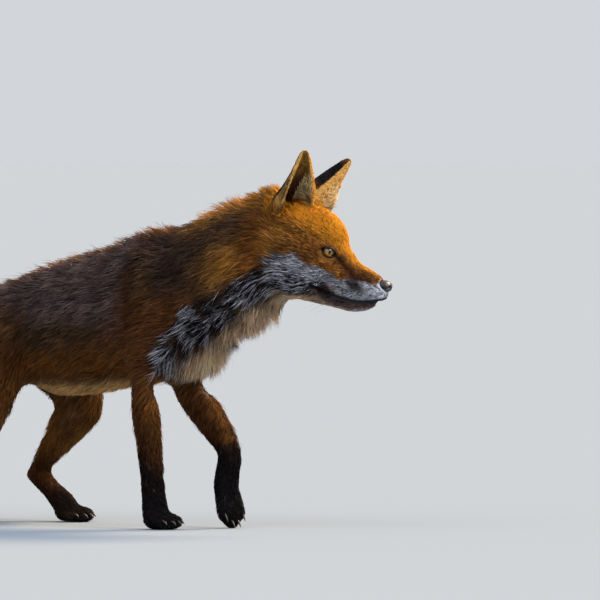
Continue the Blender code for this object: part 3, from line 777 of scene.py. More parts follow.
    pads = ((a - 80) / 13) ** 2 + ((c + 31.5 + 0.2 * (a - 80)) / 7.5) ** 2
    lay("black", 0.95 * onHead * ramp(side, 7, 10) * np.exp(-(pads**2)), 0.5)
    lay("black", onHead * ramp(overNose(local), 1.12, 1.04), 0.0)
    band = mix(2.6, 3.8, ramp(a, 86, 58)) * ramp(a, 27, 44)  # half the width of the black lips
    lips = ramp(np.abs(c - mouthLine(a) + 0.3), band + 1.4, band - 0.4)
    lay("black", 0.95 * onHead * ramp(a, 27, 34) * lips, 0.05)
    for sign in sides.values():
        seenX, seenY, out = inEye(local, sign).T
        rim = np.maximum(np.abs(seenY) - slitEdge(seenX), 0)
        rim = rim + np.maximum(np.abs(seenX) - eyeMake["halfLength"], 0)
        near = (out > 0) & (np.hypot(seenX, seenY) < 20)
        lay("umber", 0.75 * near * hill(rim, 0, 3.6), 0.15)
        under = ramp(seenY, 1, -3) * ramp(np.abs(seenX), 13, 8)
        lay("gold", 0.55 * near * under * hill(rim, 3.8, 1.3), 0.2)
        corner = hill(seenX, -12.0, 3.8) * hill(seenY, -2.2, 3.2)
        lay("black", near * np.maximum(hill(rim, 0, 1.7 - 0.5 * under), 0.9 * corner), 0.0)
    # ears: black behind, pale along the rims, and painted shade dark down in the cup
    for name, make in earLines.items():
        high, inner, share = earPlace(points, facing, name)
        mine = ear * (np.sign(b) == sides[name])
        outer = ramp(share, -0.5, -0.8)
        pale = ramp(inner - 0.3 * outer, -0.3, 0.05) * (1 - 0.4 * outer)
        pale = np.maximum(pale, make["front"] * ramp(share - make["turn"] * high, -0.15, 0.02))
        lay("rust", mine * ramp(high, 0.35, 0.2), 0.25)
        lay("brown", mine * (1 - pale) * ramp(high, 0.14, 0.3), 0.25)
        lay("black", mine * (1 - pale) * ramp(high, *make["black"]), 0.12)
        lay("rim", mine * pale * ramp(high, *make["pale"]), 0.1)
        cup = ramp(inner, 0.15, 0.5) * ramp(high, 0.05, 0.2)
        lay("inner", mine * cup * ramp(np.abs(share), 0.88, 0.7), 0.4)
        # painted shade deep in the cup
        lay("cupShade", mine * ramp(inner, 0.2, 0.5) * ramp(high, 0.8, 0.5) * ramp(share, 0.66, 0.36), 0.15)
        brink = hill(share, -0.94, 0.07) * ramp(inner, -0.35, -0.05)
        lay("rim", 0.65 * mine * brink * ramp(high, 0.15, 0.3) * ramp(high, 0.98, 0.9), 0.1)
        lay("brown", 0.5 * mine * make["front"] * ramp(high, 0.86, 0.97), 0.2)
        # the front rim's own orange, painted brighter as light from behind catching it
        frontRim = ramp(inner, 0.0, 0.3) * ramp(share, 0.82, 0.94)
        lay("orange", 0.75 * mine * frontRim * ramp(high, 0.1, 0.3), 0.2)
    # brush: grizzled, with a white tip
    onTail = ramp(x, -70, -130) * ramp(z, 118, 138)
    lay("leg", onTail, 0.6)
    lay("saddle", 0.6 * onTail * ramp(z - lineAt(tailLine, x) + 8 * rough, -5, 20), 0.7)
    lay("tip", ramp(x + 9 * rough + 5 * strands, -400, -428), 0.25)
    colour = colour * (1 + 0.1 * soft + 0.05 * rough + 0.1 * bands)[:, None]
    return np.clip(colour, 0.002, 0.95), grizzle


# coat: how the hair lies, and how long and wide its tufts are, by part

hairMake = {  # length and width of a tuft and how far apart tufts stand, in millimetres
    "trunk": (27, 1.2, 2.3),
    "neck": (29, 1.1, 2.05),
    "head": (9, 0.8, 1.3),
    "lower_jaw": (5.5, 0.85, 1.2),
    "ear": (5.5, 0.9, 1.35),
    "foreleg": (13, 0.95, 1.75),
    "forepaw": (6.5, 0.85, 1.45),
    "thigh": (23, 1.2, 2.2),
    "shank": (16, 1.0, 1.85),
    "hindpaw": (7, 0.85, 1.5),
    "tail": (46, 1.5, 1.65),
}
faceHair = {  # the same over the head
    "brow": (8, 0.95, 1.3),
    "muzzle": (5, 0.85, 1.12),
    "cheek": (14, 0.95, 1.5),
    "ruff": (25, 1.2, 1.9),
    "nape": (15, 1.0, 1.6),
    "earBase": (16, 0.95, 1.5),
}
# what hanging hair gains, and what the bib and the hair beside an eye lose as a share
hairChange = {"hang": (8, -0.15, -0.2), "bib": (0.32, 0.34, 0.2), "eye": (0.5, 0.4, 0.25)}
longer = {"tailTip": 34, "earFoot": 12, "wisp": 10}  # what these add to the length, in millimetres
facePart = (126, 0, -22)  # the hair of the face runs back from here, just ahead of the nose
toesLie = (0.95, 0, -0.25)
hairLie = {  # which way each part's hair points
    "trunk": (-0.9, 0, -0.36),
    "neck": (-0.82, -0.05, -0.5),
    "foreleg": (-0.12, 0, -1),
    "forepaw_right": (0.5, 0, -0.85),
    "forepaw_left": (0.1, 0, -1),
    "thigh": (-0.5, 0, -0.85),
    "shank_right": (-0.85, 0, -0.5),
    "shank_left": (-0.62, 0, -0.78),
    "hindpaw": (0.45, 0, -0.85),
    "tail": (-0.95, 0, -0.22),
}


def inWisps(points, normals, labels, name):
    # where an ear's long pale hair is rooted, just inside its front rim
    high, inner, share = earPlace(points, normals, name)
    front = earLines[name]["front"]
    inside = isNode(labels, "ear_" + name) * ramp(inner, -0.2 - 0.5 * front, 0.1 - 0.5 * front)
    low, top = (0.6, 1.9) if front else (0.42, 0.8)
    inside = inside * ramp(share, low, low + 0.15) * ramp(share, top + 0.1, top)
    return inside * ramp(high, 0.74, 0.35) * ramp(high, 0.0, 0.16)


def aroundEar(a, b):
    # 1 near the base of either ear, from how far ahead and how far aside a place on the head is
    return ramp(np.hypot(a + 12, np.abs(b) - 27), 30, 18)


def hairSizes(points, labels, facing):
    local = toHead(points)
    a, b, c = (local / mm).T
    sizes = np.stack([byPart({k: v[i] for k, v in hairMake.items()}, labels) for i in range(3)], 1)
    face = np.tile(np.array(faceHair["brow"]), (len(a), 1))
    stretches = {
        "muzzle": ramp(a, 50, 80),
        "cheek": ramp(a, 40, 8) * ramp(c, 0, -16),
        "ruff": ramp(a, 4, -24) * ramp(c, 34, 6),
        "nape": ramp(a, 12, -16) * ramp(c, 4, 24),
        "earBase": aroundEar(a, b) * ramp(c, 10, 26),
    }
    for name, mask in stretches.items():
        face = mix(face, np.array(faceHair[name]), mask[:, None])
    onHead = isNode(labels, "head")
    sizes[onHead] = face[onHead]
    front = isNode(labels, "neck", "trunk")
    hang = front * ramp(facing[:, 2], 0.0, -0.5) * ramp(points[:, 0], 0.205, 0.24)
    sizes += hang[:, None] * np.array(hairChange["hang"])
    # the tail's tip is hair alone
    sizes[:, 0] += longer["tailTip"] * isNode(labels, "tail") * ramp(points[:, 0], -0.34, -0.43)
    for name in earLines:
        # the ear's base is deep in fur, and long pale hair crosses its mouth from the front rim
        high, _, _ = earPlace(points, facing, name)
        foot = isNode(labels, "ear_" + name) * longer["earFoot"] * ramp(high, 0.3, 0.12)
        sizes[:, 0] += foot + longer["wisp"] * wisps[name]
    bib = front * ramp(points[:, 0] / mm, 208, 225)
    bib = bib * ramp(lineAt(bibLine, points[:, 0] / mm) - points[:, 2] / mm, -8, 8)
    sizes *= 1 - bib[:, None] * np.array(hairChange["bib"])
    for sign in sides.values():
        alongSlit, across, out = inEye(local, sign).T
        away = np.hypot(alongSlit, across * 1.3) - 9
        close = ramp(away, 9, 1) * (out > 0)
        sizes *= 1 - close[:, None] * np.array(hairChange["eye"])
    return sizes


def hairWays(points, labels):
    ways = np.zeros_like(points)
    for word, way in hairLie.items():
        ways[isNode(labels, word)] = way
    fromNose = unit(toHead(points) / mm - np.array(facePart))
    onHead = isNode(labels, "head", "lower_jaw")
    ways[onHead] = (fromNose @ headAxes.T)[onHead]
    for name, make in earLines.items():
        ways[isNode(labels, "ear_" + name)] = headAxes @ unit(make["points"])
    toes = isNode(labels, "forepaw_right", "hindpaw") & (points[:, 2] < 0.03)
    ways[toes] = toesLie
    return unit(ways)


def finishWays(points, ways):
    # hair parts around the eyes, and the wisps in the ears cross the cup
    for sign in sides.values():
        seen = inEye(toHead(points), sign)
        radial = seen * (1, 1, 0)
        away = np.linalg.norm(radial, axis=1)
        radial = (unit(radial) @ eyeAxes(sign)) @ headAxes.T
        inward = np.minimum((ways * radial).sum(1), 0) * ramp(away, 22, 11) * (seen[:, 2] > 0)
        ways = unit(ways - 1.25 * inward[:, None] * radial)
    for name, make in earLines.items():
        up, _, across = earAxes(name)
        way = headAxes @ (make["fringe"][0] * up + make["fringe"][1] * across)
        ways = unit(mix(ways, way, wisps[name][:, None]))
    return ways


def standing(points, labels, facing):
    # how far the hair stands up: along the nape and mane, and hanging from the throat
    x, y, _ = (points / mm).T
    mid = np.abs(y - lineAt(midLine, x))
    crest = ramp(facing[:, 2], 0.35, 0.85) * ramp(mid, 30, 12)
    nape = 0.55 * crest * ramp(x, 262, 300) * ramp(x, 388, 372)
    mane = 0.6 * crest * hill(x, 180, 26)
    back = 0.14 * crest * isNode(labels, "trunk")
    a, b, c = (toHead(points) / mm).T
    earBase = 0.35 * aroundEar(a, b) * ramp(c, 12, 26) * isNode(labels, "head")
    throat = 0.8 * ramp(facing[:, 2], 0.0, -0.5) * isNode(labels, "neck", "trunk") * ramp(x, 205, 240)
    cups = 0.5 * sum(wisps.values())
    return np.maximum.reduce([nape, mane, back, throat, earBase, cups])


points = pointsOf(skin.data)
edges = edgesOf(skin.data)
labels = nodeAt(points)
normals = unit(spread(normalsOf(skin.data), edges, 2))
broad = unit(spread(normals, edges, 14))  # the body's own shape, without its folds
ear = np.clip(spread(isNode(labels, "ear") * 1.0, edges, 3), 0, 1)
wisps = {name: inWisps(points, normals, labels, name) for name in earLines}
sizes = spread(hairSizes(points, labels, broad), edges, 12)
ways = finishWays(points, spread(hairWays(points, labels), edges, 40))
stand = spread(standing(points, labels, broad), edges, 10)
print("coat: lie and sizes set")

# how far the outside of the coat stands over the skin
height = np.array([fleshTree.find_nearest(Vector(p))[3] for p in points])
least = np.where(isNode(labels, "trunk", "neck", "foreleg", "thigh"), 1.6, 0.6) * mm
height = np.maximum(spread(height, edges, 12), least)

colour, _ = paint(points, ear, normals)
paintPoints(skin, colour * 0.8)  # the skin is painted a fifth darker than the hair over it
unwrap(skin, 0.002)
skin.data.shade_smooth()
print("skin: unwrapped and painted")


# tufts: thin closed blades of hair, rooted all over the skin and combed along it

tuftMake = {
    "long": 10.5 * mm,  # a tuft longer than this has one ring more
    "vary": (0.7, 1.25),  # the range of lengths over a part's own length
    "sway": 0.16,  # how far a tuft strays from the lie of its neighbours
    "flat": 0.55,  # thickness over half the width
    "sunk": 0.8 * mm,  # how deep a root is under the skin
    "patch": 0.003,  # a tuft's share of the unwrap
    "lockSize": 9 * mm,  # how far apart the locks stand
    "lockPull": 0.5,  # how far the hairs of a lock draw together
    "spiky": 11 * mm,  # how far single locks stand out of hair that stands
    "strays": 0.1,  # the share of loose hairs, which are longer, thinner and stand off
}


def inOrder(places):
    # an order that keeps neighbours together, so that even steps along it are even over the skin
    cells = ((places - places.min(0)) / (2 * mm)).astype(np.int64)
    key = np.zeros(len(places), np.int64)
    for bit in range(10):
        for axis in range(3):
            key |= ((cells[:, axis] >> bit) & 1) << (3 * bit + axis)
    return np.argsort(key)


def rootsOn(triangles, corners, spacing):
    # which triangle each root stands on, and its share of that triangle's corners
    a, b, c = (corners[triangles[:, i]] for i in range(3))
    areas = np.linalg.norm(np.cross(b - a, c - a), axis=1) / 2
    order = inOrder((a + b + c) / 3)
    total = np.cumsum((areas / spacing[triangles].mean(1) ** 2)[order])
    steps = np.arange(int(total[-1])) + rng.random(int(total[-1])) * 0.98
    picks = order[np.minimum(np.searchsorted(total, steps), len(order) - 1)]
    across, along = np.sqrt(rng.random(len(picks))), rng.random(len(picks))
    shares = np.stack([1 - across, across * (1 - along), across * along], 1)
    return picks, shares


def between(values, triangles, picks, shares):
    held = values[triangles[picks]]
    return (held * (shares[:, :, None] if held.ndim == 3 else shares)).sum(1)


triangles = np.empty(len(skin.data.polygons) * 3, np.int32)
skin.data.polygons.foreach_get("vertices", triangles)
triangles = triangles.reshape(-1, 3)
uvs = np.empty(len(triangles) * 6, np.float32)
skin.data.uv_layers["OFBake"].data.foreach_get("uv", uvs)
uvs = uvs.reshape(-1, 3, 2)
picks, shares = rootsOn(triangles, points, sizes[:, 2] * mm)
root = {
    "place": between(points, triangles, picks, shares),
    "up": unit(between(broad, triangles, picks, shares)),
    "size": between(sizes, triangles, picks, shares),
    "stand": between(stand, triangles, picks, shares),
    "ear": between(ear, triangles, picks, shares),
    "wisp": between(sum(wisps.values()), triangles, picks, shares),
    "uv": (uvs[picks] * shares[:, :, None]).sum(1),
    "label": labels[triangles[picks, 0]],
}


def isBare(places):
    # between the lids, on the nose and in the mouth
    local = toHead(places)
    a, _, c = (local / mm).T
    bare = (a > 30) & (np.abs(c - mouthLine(a)) < 1.4) & (a < 118)
    for sign in sides.values():
        alongSlit, across, out = inEye(local, sign).T
        shut = np.abs(across) < slitEdge(alongSlit) + 1.0
        shut &= np.abs(alongSlit) < eyeMake["halfLength"] + 0.8
        corner = np.abs(across - 0.62 * (alongSlit + 8.4)) < 1.5
        corner &= (alongSlit < -8) & (alongSlit > -13.6)
        bare |= (shut | corner) & (out > 0)
    bare |= overNose(local) < 1.04
    return bare


kept = ~isBare(root["place"])
root = {name: values[kept] for name, values in root.items()}
print("coat:", len(root["place"]), "roots")

skinSurface = BVHTree.FromPolygons([Vector(p) for p in points], triangles.tolist())
skinTree = KDTree(len(points))
for index, place in enumerate(points):
    skinTree.insert(place, index)
skinTree.balance()


def comb(start, length, lift, sway, steps):
    # walks each tuft over the skin in a few steps, and lifts it towards the outside of the coat
    place = start.copy()
    nearest = np.array([skinTree.find(p)[1] for p in place])
    line = []
    for step in range(steps + 1):
        up = broad[nearest]
        share = step / steps
        rise = height[nearest] * lift * (1 - (1 - share) ** 1.7)
        rise = rise + stand[nearest] * length * share**1.2 * 0.6
        line.append(place + up * (rise - (share == 0) * tuftMake["sunk"])[:, None])
        way = ways[nearest]
        way = unit(way - up * (way * up).sum(1)[:, None])
        aside = np.cross(up, way)
        reach = length / steps * (1 - 0.45 * stand[nearest])
        place = place + unit(way + aside * (sway * (0.6 + share))[:, None]) * reach[:, None]
        if step == steps:
            break
        nearest = np.array([skinTree.find(p)[1] for p in place])
        up = broad[nearest]
        place = place - up * ((place - points[nearest]) * up).sum(1)[:, None]
    return np.stack(line, 1)


# how far the brush reaches to its sides and upwards from its centre line
brush = np.concatenate([pointsOf(nodes[name].data) for name in fleshNodes if name.startswith("tail")])
offCentre = np.abs(brush - tailCentre(brush[:, 0]))
brushBins = np.linspace(-0.485, -0.11, 20)
brushReach = np.array(
    [[offCentre[np.abs(brush[:, 0] - x) < 0.024, axis].max() for axis in (1, 2)] for x in brushBins]
)
brushReach[0] = 4 * mm  # its end runs to a point


def reachAt(x):
    return np.stack([np.interp(x, brushBins, brushReach[:, i]) for i in (0, 1)], 1)


def combBrush(start, length, lift, sway, steps):
    # the same for the brush, whose tufts fan out from its core and run on past its end
    out = (start - tailCentre(start[:, 0]))[:, 1:]
    turn = np.arctan2(out[:, 1], out[:, 0])
    first = np.linalg.norm(out / reachAt(start[:, 0]), axis=1)
    line = []
    for step in range(steps + 1):
        share = step / steps
        x = start[:, 0] - length * share * 0.97
        # outer hairs end first
        x = np.maximum(x, brushBins[0] + 0.045 * np.clip(2 * lift - 1, 0, 1) ** 2)
        grown = mix(first, np.maximum(lift * 1.04, first), 1 - (1 - share) ** 1.6)
        bent = turn + sway * share * 0.9
        aside = np.stack([np.cos(bent), np.sin(bent)], 1) * reachAt(x) * grown[:, None]
        line.append(tailCentre(x) + np.concatenate([np.zeros((len(x), 1)), aside], 1))
    return np.stack(line, 1)


def ringFaces(rings):
    # triangles of one blade: its root, three sides from ring to ring, and its point
    faces = [(2, 1, 0)]
    pairs = ((0, 1), (1, 2), (2, 0))
    for ring in range(rings - 1):
        for p, q in pairs:
            low, high = 3 * ring + p, 3 * ring + q
            faces += [(low, high, high + 3), (low, high + 3, low + 3)]
    faces += [(3 * rings - 3 + p, 3 * rings - 3 + q, 3 * rings) for p, q in pairs]
    return np.array(faces)


def blades(line, up, width, colours, uv):
    # points, triangles, colours and uvs of closed blades along these lines
    count, rings = len(line), line.shape[1] - 1
    profile = np.array({2: (0.85, 0.9), 3: (0.8, 1.0, 0.7)}[rings])  # widths from the root up
    way = unit(np.gradient(line, axis=1)[:, :-1])
    aside = unit(np.cross(np.repeat(up[:, None], rings, 1), way))
    over = np.cross(way, aside)
    half = (width[:, None] * profile / 2)[:, :, None]
    ring = line[:, :-1]
    thick = half * 2 * tuftMake["flat"]
    corners = np.stack([ring + aside * half, ring + over * thick, ring - aside * half], 2)
    corners = np.concatenate([corners.reshape(count, -1, 3), line[:, -1:]], 1)
    size = 3 * rings + 1
    faces = ringFaces(rings)[None] + (np.arange(count) * size)[:, None, None]
    shares = np.append(np.repeat(np.arange(rings) / rings, 3), 1.0)
    held = np.repeat(colours, np.append(np.full(rings, 3), 1), axis=1)
    sideways = np.append(np.tile((-1, 0, 1), rings), 0) / 2 * (1 - 0.7 * shares)
    offsets = np.stack([sideways, shares - 0.5], 1)
    patch = uv[:, None] + offsets * tuftMake["patch"]
    return corners.reshape(-1, 3), faces.reshape(-1, 3), held.reshape(-1, 3), patch.reshape(-1, 2)


grizzleMake = {
    "dark": 0.4,  # the share of dark hairs in the most grizzled fur
    "pale": 0.36,  # and of pale ones
    "darkTips": 0.3,
    "lockTone": 0.27,  # how far locks differ in tone
    "gold": (0.07, 0.05, 0.025),  # what pale hairs gain in red fur
    "white": (0.8, 0.81, 0.92),  # their colour in grey fur
    "slim": 0.65,  # the width of pale hairs over the others'
    "brightest": 0.9,
}


def grizzled(colours, grizzle, lockTone, count):
    # root, middle and tip colours of each tuft, with dark hairs and thinner pale ones scattered through,
    # and how wide each is for its kind
    grey = colours.mean(1)[:, None]
    pick = rng.random((len(colours), 1))
    grain = grizzle[:, None]
    vivid = (colours.max(1) - colours.min(1)) / colours.max(1)
    # pale hairs are white in grey fur, golden in red
    cool = ramp(grain, 0.5, 0.9) * ramp(vivid, 0.5, 0.35)[:, None]
    tone = rng.normal(0, 0.18 + 0.18 * grain, (len(colours), 1))
    tone = tone + lockTone[:, None] * (0.4 + 1.4 * grain)
    tone = np.exp(np.minimum(tone, 0.4 + 0.5 * cool))
    dark = mix(colours * 0.4, colours * 0.16, cool)
    pale = mix(colours * 1.2 + np.array(grizzleMake["gold"]), np.array(grizzleMake["white"]), cool)
    isPale = pick > 1 - grizzleMake["pale"] * grain * np.exp(1.6 * lockTone[:, None])
    isDark = pick < grizzleMake["dark"] * grain
    body = np.where(isDark, dark, np.where(isPale, pale, colours)) * tone
    darkTip = rng.random((len(colours), 1)) < grizzleMake["darkTips"] * grain * ~isPale
    tip = np.where(darkTip, dark, body * 1.12)
    # roots are greyer and darker by painted shade deep in the coat, though white and cream hair is light
    # to its root
    rooted = mix(body, grey, 0.2) * mix(0.5, 0.9, ramp(grey, 0.48, 0.68))
    shares = np.linspace(0, 1, count)[None, :, None]
    held = mix(rooted[:, None], body[:, None], ramp(shares, 0, 0.5))
    held = mix(held, tip[:, None], ramp(shares, 0.62, 1))
    # no brighter than hair can be, in the same hue
    held = held / np.maximum(held.max(2, keepdims=True) / grizzleMake["brightest"], 1)
    return np.maximum(held, 0.002), np.where(isPale[:, 0], grizzleMake["slim"], 1.0)


length = root["size"][:, 0] * mm * rng.uniform(*tuftMake["vary"], len(root["size"]))
lift = rng.uniform(0.5, 1.0, len(length))
stray = rng.random(len(length)) < tuftMake["strays"]
lift[stray] *= 1.4
length[stray] *= 1.2
untidy = 1 + 0.9 * isNode(root["label"], "neck")
sway = rng.normal(0, tuftMake["sway"], len(length)) * untidy + 0.2 * waves(root["place"], 0.03, 8)
isLong = length > tuftMake["long"]
tufts = {}
for steps in (2, 3):
    chosen = isLong == (steps == 3)
    line = comb(root["place"][chosen], length[chosen], lift[chosen], sway[chosen], steps)
    onBrush = isNode(root["label"][chosen], "tail") & (line[:, 0, 0] < -0.13)
    if onBrush.any():
        picked = np.flatnonzero(chosen)[onBrush]
        start = root["place"][picked]
        line[onBrush] = combBrush(start, length[picked], lift[picked], sway[picked], steps)
    # hairs of one lock draw together towards their tips
    lockSize = tuftMake["lockSize"] * (1 if steps == 3 else 0.5)
    leads = np.flatnonzero(rng.random(len(line)) < (root["size"][chosen][:, 2] * mm / lockSize) ** 2)
    leadTree = KDTree(len(leads))
    for order, index in enumerate(leads):
        leadTree.insert(line[index, 0], order)
    leadTree.balance()
    lock = np.array([leadTree.find(p)[1] for p in line[:, 0]])
    lead = leads[lock]
    shares = (np.linspace(0, 1, steps + 1) ** 1.5)[None, :, None]
    apart = np.linalg.norm(line[lead, 0] - line[:, 0], axis=1)
    pull = tuftMake["lockPull"] * rng.uniform(0.1, 1.3, len(line)) * ramp(apart, 16 * mm, 6 * mm)
    line = mix(line, line[lead], shares * pull[:, None, None])
    # where the hair stands, some locks stand further out than others
    out = rng.uniform(-0.4, 1, len(leads))[lock] * root["stand"][chosen] * tuftMake["spiky"]
    line += shares * (root["up"][chosen] * out[:, None])[:, None]
    seen = mix(line[:, -2], line[:, -1], 0.3)
    colour, grizzle = paint(seen, root["ear"][chosen], root["up"][chosen])
    fringe = ramp(root["wisp"][chosen], 0.1, 0.5) * rng.uniform(0.4, 1, len(line))
    colour = mix(colour, shade["fringe"], fringe[:, None])
    lockTone = rng.normal(0, grizzleMake["lockTone"], len(leads))[lock]
    held, slim = grizzled(colour, grizzle, lockTone, steps + 1)
    tufts[steps] = (line, held, slim, np.flatnonzero(chosen))
print("coat: combed", int(isLong.sum()), "long tufts and", int((~isLong).sum()), "short")

coatParts = {
    "coat_face": (("head", "lower_jaw"), lambda p: toHead(p)[:, 0] > 18 * mm),
    "coat_cheeks": (("head", "lower_jaw"), lambda p: toHead(p)[:, 0] <= 18 * mm),
    "coat_ears": (("ear",), None),
    "coat_neck": (("neck",), None),
    "coat_chest": (("trunk",), lambda p: p[:, 0] > 0.185),
    "coat_shoulders": (("trunk",), lambda p: (p[:, 0] > 0.07) & (p[:, 0] <= 0.185)),
    "coat_back": (("trunk",), lambda p: p[:, 0] <= 0.07),
    "coat_forelegs": (("foreleg", "forepaw"), None),
    "coat_haunches": (("thigh",), None),
    "coat_hindlegs": (("shank", "hindpaw"), None),
    "coat_tail": (("tail",), None),
}
coats = {}
for name, (words, where) in coatParts.items():
    chunks, start = [], 0
    for line, held, slim, index in tufts.values():
        mine = isNode(root["label"][index], *words)
        if where:
            mine &= where(root["place"][index])
        if not mine.any():
            continue
        which = index[mine]
        width = root["size"][which, 1] * mm * rng.uniform(0.8, 1.2, len(which)) * slim[mine]
        width *= np.where(stray[which], 0.6, 1)
        corners, faces, colours, patch = blades(
            line[mine], root["up"][which], width, held[mine], root["uv"][which]
        )
        corners[:, 2] = np.maximum(corners[:, 2], 0.1 * mm)  # stays off the floor
        chunks.append((corners, faces + start, colours, patch[faces.ravel()]))
        start += len(corners)
    corners, faces, colours, patch = (np.concatenate(held) for held in zip(*chunks))
    piece = makeObject(name, corners, faces)
    paintPoints(piece, colours)
    piece.data.uv_layers.new(name="OFBake").data.foreach_set("uv", patch.astype(np.float32).ravel())
    coats[name] = piece
    print(name, len(faces), "triangles")


def addNode(tree, kind, settings=None, links=None):
    # adds a node; settings fill its fields and sockets, links name the outputs that feed its inputs
    node = tree.nodes.new("ShaderNode" + kind)
    for key, value in (settings or {}).items():
        if isinstance(key, str) and hasattr(node, key):
            setattr(node, key, value)
        else:
            node.inputs[key].default_value = value
    for key, (other, output) in (links or {}).items():
        tree.links.new(other.outputs[output], node.inputs[key])
    return node


def newMaterial(name):
    material = bpy.data.materials.new(name)
    material.use_nodes = True
    material.node_tree.nodes.clear()
    return material, material.node_tree


# dry guard hair: a soft sheen along the coat, and light that comes through at its edges
furMake = {
    "roughness": 0.6,
    "specular": 0.12,
    "through": 0.35,  # the share of light that passes through
    "clumps": 0.9,  # to a millimetre of underfur
    "bump": 0.4 * mm,
}


def furMaterial(name, through, bumps=0.0):
    material, tree = newMaterial(name)
    colour = addNode(tree, "Attribute", {"attribute_name": "furColour"})
    hair = addNode(
        tree,
        "BsdfPrincipled",
        {"Roughness": furMake["roughness"], "Specular IOR Level": furMake["specular"]},
        {"Base Color": (colour, "Color")},
    )
    if bumps:
        places = addNode(tree, "TexCoord")
        settings = {"Scale": furMake["clumps"] / mm, "Detail": 3.0}
        grain = addNode(tree, "TexNoise", settings, {"Vector": (places, "Object")})
        settings = {"Strength": bumps, "Distance": furMake["bump"]}
        bump = addNode(tree, "Bump", settings, {"Height": (grain, 0)})
        tree.links.new(bump.outputs["Normal"], hair.inputs["Normal"])
    if through:
        glow = addNode(tree, "BsdfTranslucent", links={"Color": (colour, "Color")})
        hair = addNode(tree, "MixShader", {0: through}, {1: (hair, 0), 2: (glow, 0)})
    addNode(tree, "OutputMaterial", links={"Surface": (hair, 0)})
    return material


furFinish = furMaterial("dry guard hair", furMake["through"])
skinFinish = furMaterial("short flat underfur", 0, 0.5)  # dull and faintly clumped where the coat is thin
skin.data.materials.append(skinFinish)
for piece in coats.values():
    piece.data.materials.append(furFinish)


# eyes: amber balls behind the lids, with moist black rims

irisMake = {
    "iris": 6.3,  # radius, in millimetres
    "pupil": (1.7, 2.7),  # half its width and height
    "bulge": 0.04,  # how far the cornea stands out, as a share of the ball's radius
    "gold": "#96691e",
    "amber": "#4e300c",
    "ring": "#160c06",
    "white": "#2a1f1c",
    "black": (0.002, 0.002, 0.003),
}


def eyePlace(seen, sign):
    # a point given along, across and out of an eye, in millimetres, as a place in the scene
    centre = np.array((headPose["eye"].x, headPose["eye"].y * sign, headPose["eye"].z))
    return fromHead(np.asarray(seen) @ eyeAxes(sign) * mm + centre)


def eyeball(name, sign):
    ball = makeBall("eyeball_" + name, 72, 96)
    seen = pointsOf(ball.data) * eyeMake["radius"]
    x, y, out = seen.T
    away = np.hypot(x, y)
    front = out > 0
    seen[:, 2] += eyeMake["radius"] * irisMake["bulge"] * hill(away, 0, 5.5) * front
    turn = np.arctan2(y, x)
    streak = 0.5 + 0.22 * np.sin(turn * 23 + 3 * np.sin(turn * 5)) + 0.18 * np.sin(turn * 41 + 1)
    streak = ramp(away, 2.5, 5.6) * streak
    colour = mix(srgb(irisMake["gold"]), srgb(irisMake["amber"]), streak[:, None])
    # painted shade: darker under the brow and towards the nose
    colour = colour * mix(1.1, 0.16, np.maximum(ramp(y, 0.2, 2.8), ramp(x, -1.6, -4.6)))[:, None]
    edge = irisMake["iris"]
    colour = mix(colour, srgb(irisMake["ring"]), ramp(away, edge - 1.0, edge - 0.1)[:, None])
    colour = mix(colour, srgb(irisMake["white"]), ramp(away, edge + 0.3, edge + 1.6)[:, None])
    wide, tall = irisMake["pupil"]
    pupil = ramp(np.hypot(x / wide, y / tall), 1.2, 0.85) * front
    colour = mix(colour, np.array(irisMake["black"]), pupil[:, None])
    if sign < 0:
        ball.data.flip_normals()
    setPoints(ball.data, eyePlace(seen, sign))
    paintPoints(ball, np.clip(colour, 0.001, 1))
    unwrap(ball)
    return ball


def threads(name, lines, radii, sides=8):
    # round threads along lines of points, with a radius at each point, as one mesh
    curve = bpy.data.curves.new(name, "CURVE")
    curve.dimensions = "3D"
    curve.bevel_depth = 1
    curve.bevel_resolution = (sides - 4) // 2
    curve.resolution_u = 1
    curve.use_fill_caps = True
    for line, widths in zip(lines, radii):
        spline = curve.splines.new("POLY")
        spline.points.add(len(line) - 1)
        spline.points.foreach_set("co", np.concatenate([line, np.ones((len(line), 1))], 1).ravel())
        spline.points.foreach_set("radius", widths)
    made = bpy.data.objects.new(name, curve)
    bpy.context.scene.collection.objects.link(made)
    pickOnly(made)
    bpy.ops.object.convert(target="MESH")
    bpy.ops.object.shade_smooth()
    unwrap(made)
    return made


def skinOut(alongSlit, across, sign):
    # how far out of an eye the skin stands there, found from well outside it
    outside = 30
    start = eyePlace((alongSlit, across, outside), sign)
    way = eyePlace((0, 0, -1), sign) - eyePlace((0, 0, 0), sign)
    return outside - skinSurface.ray_cast(Vector(start), Vector(way))[3] / mm


def lidRim(sign):
    # the edge of the upper and of the lower lid, drawn out at the inner corner
    lines, radii = [], []
    half = eyeMake["halfLength"]
    for upper in (1, -1):
        corner = (-half - 4.2, -half - 2.8, -half - 1.3)
        alongSlit = np.concatenate([corner, np.linspace(-half, half, 33), [half + 1.0]])
        across = upper * slitEdge(alongSlit)
        across[:3] = (-2.9, -1.7, -0.6)
        ball = np.sqrt(np.maximum(eyeMake["radius"] ** 2 - alongSlit**2 - across**2, 3.0))
        out = ball + 0.45 + 0.25 * (upper > 0)
        out[:3] = [skinOut(alongSlit[i], across[i], sign) + 0.15 for i in range(3)]
        out[3] = max(out[3], mix(out[2], out[4], 0.5))
        wide = (0.65 + 0.5 * (upper > 0)) * (0.6 + 0.5 * ramp(half - np.abs(alongSlit), 0, 3))
        wide[:3] = (0.3, 0.7, 0.9)
        wide[-1] = 0.3
        lines.append(eyePlace(np.stack([alongSlit, across, out], 1), sign))
        radii.append(wide * mm)
    return lines, radii


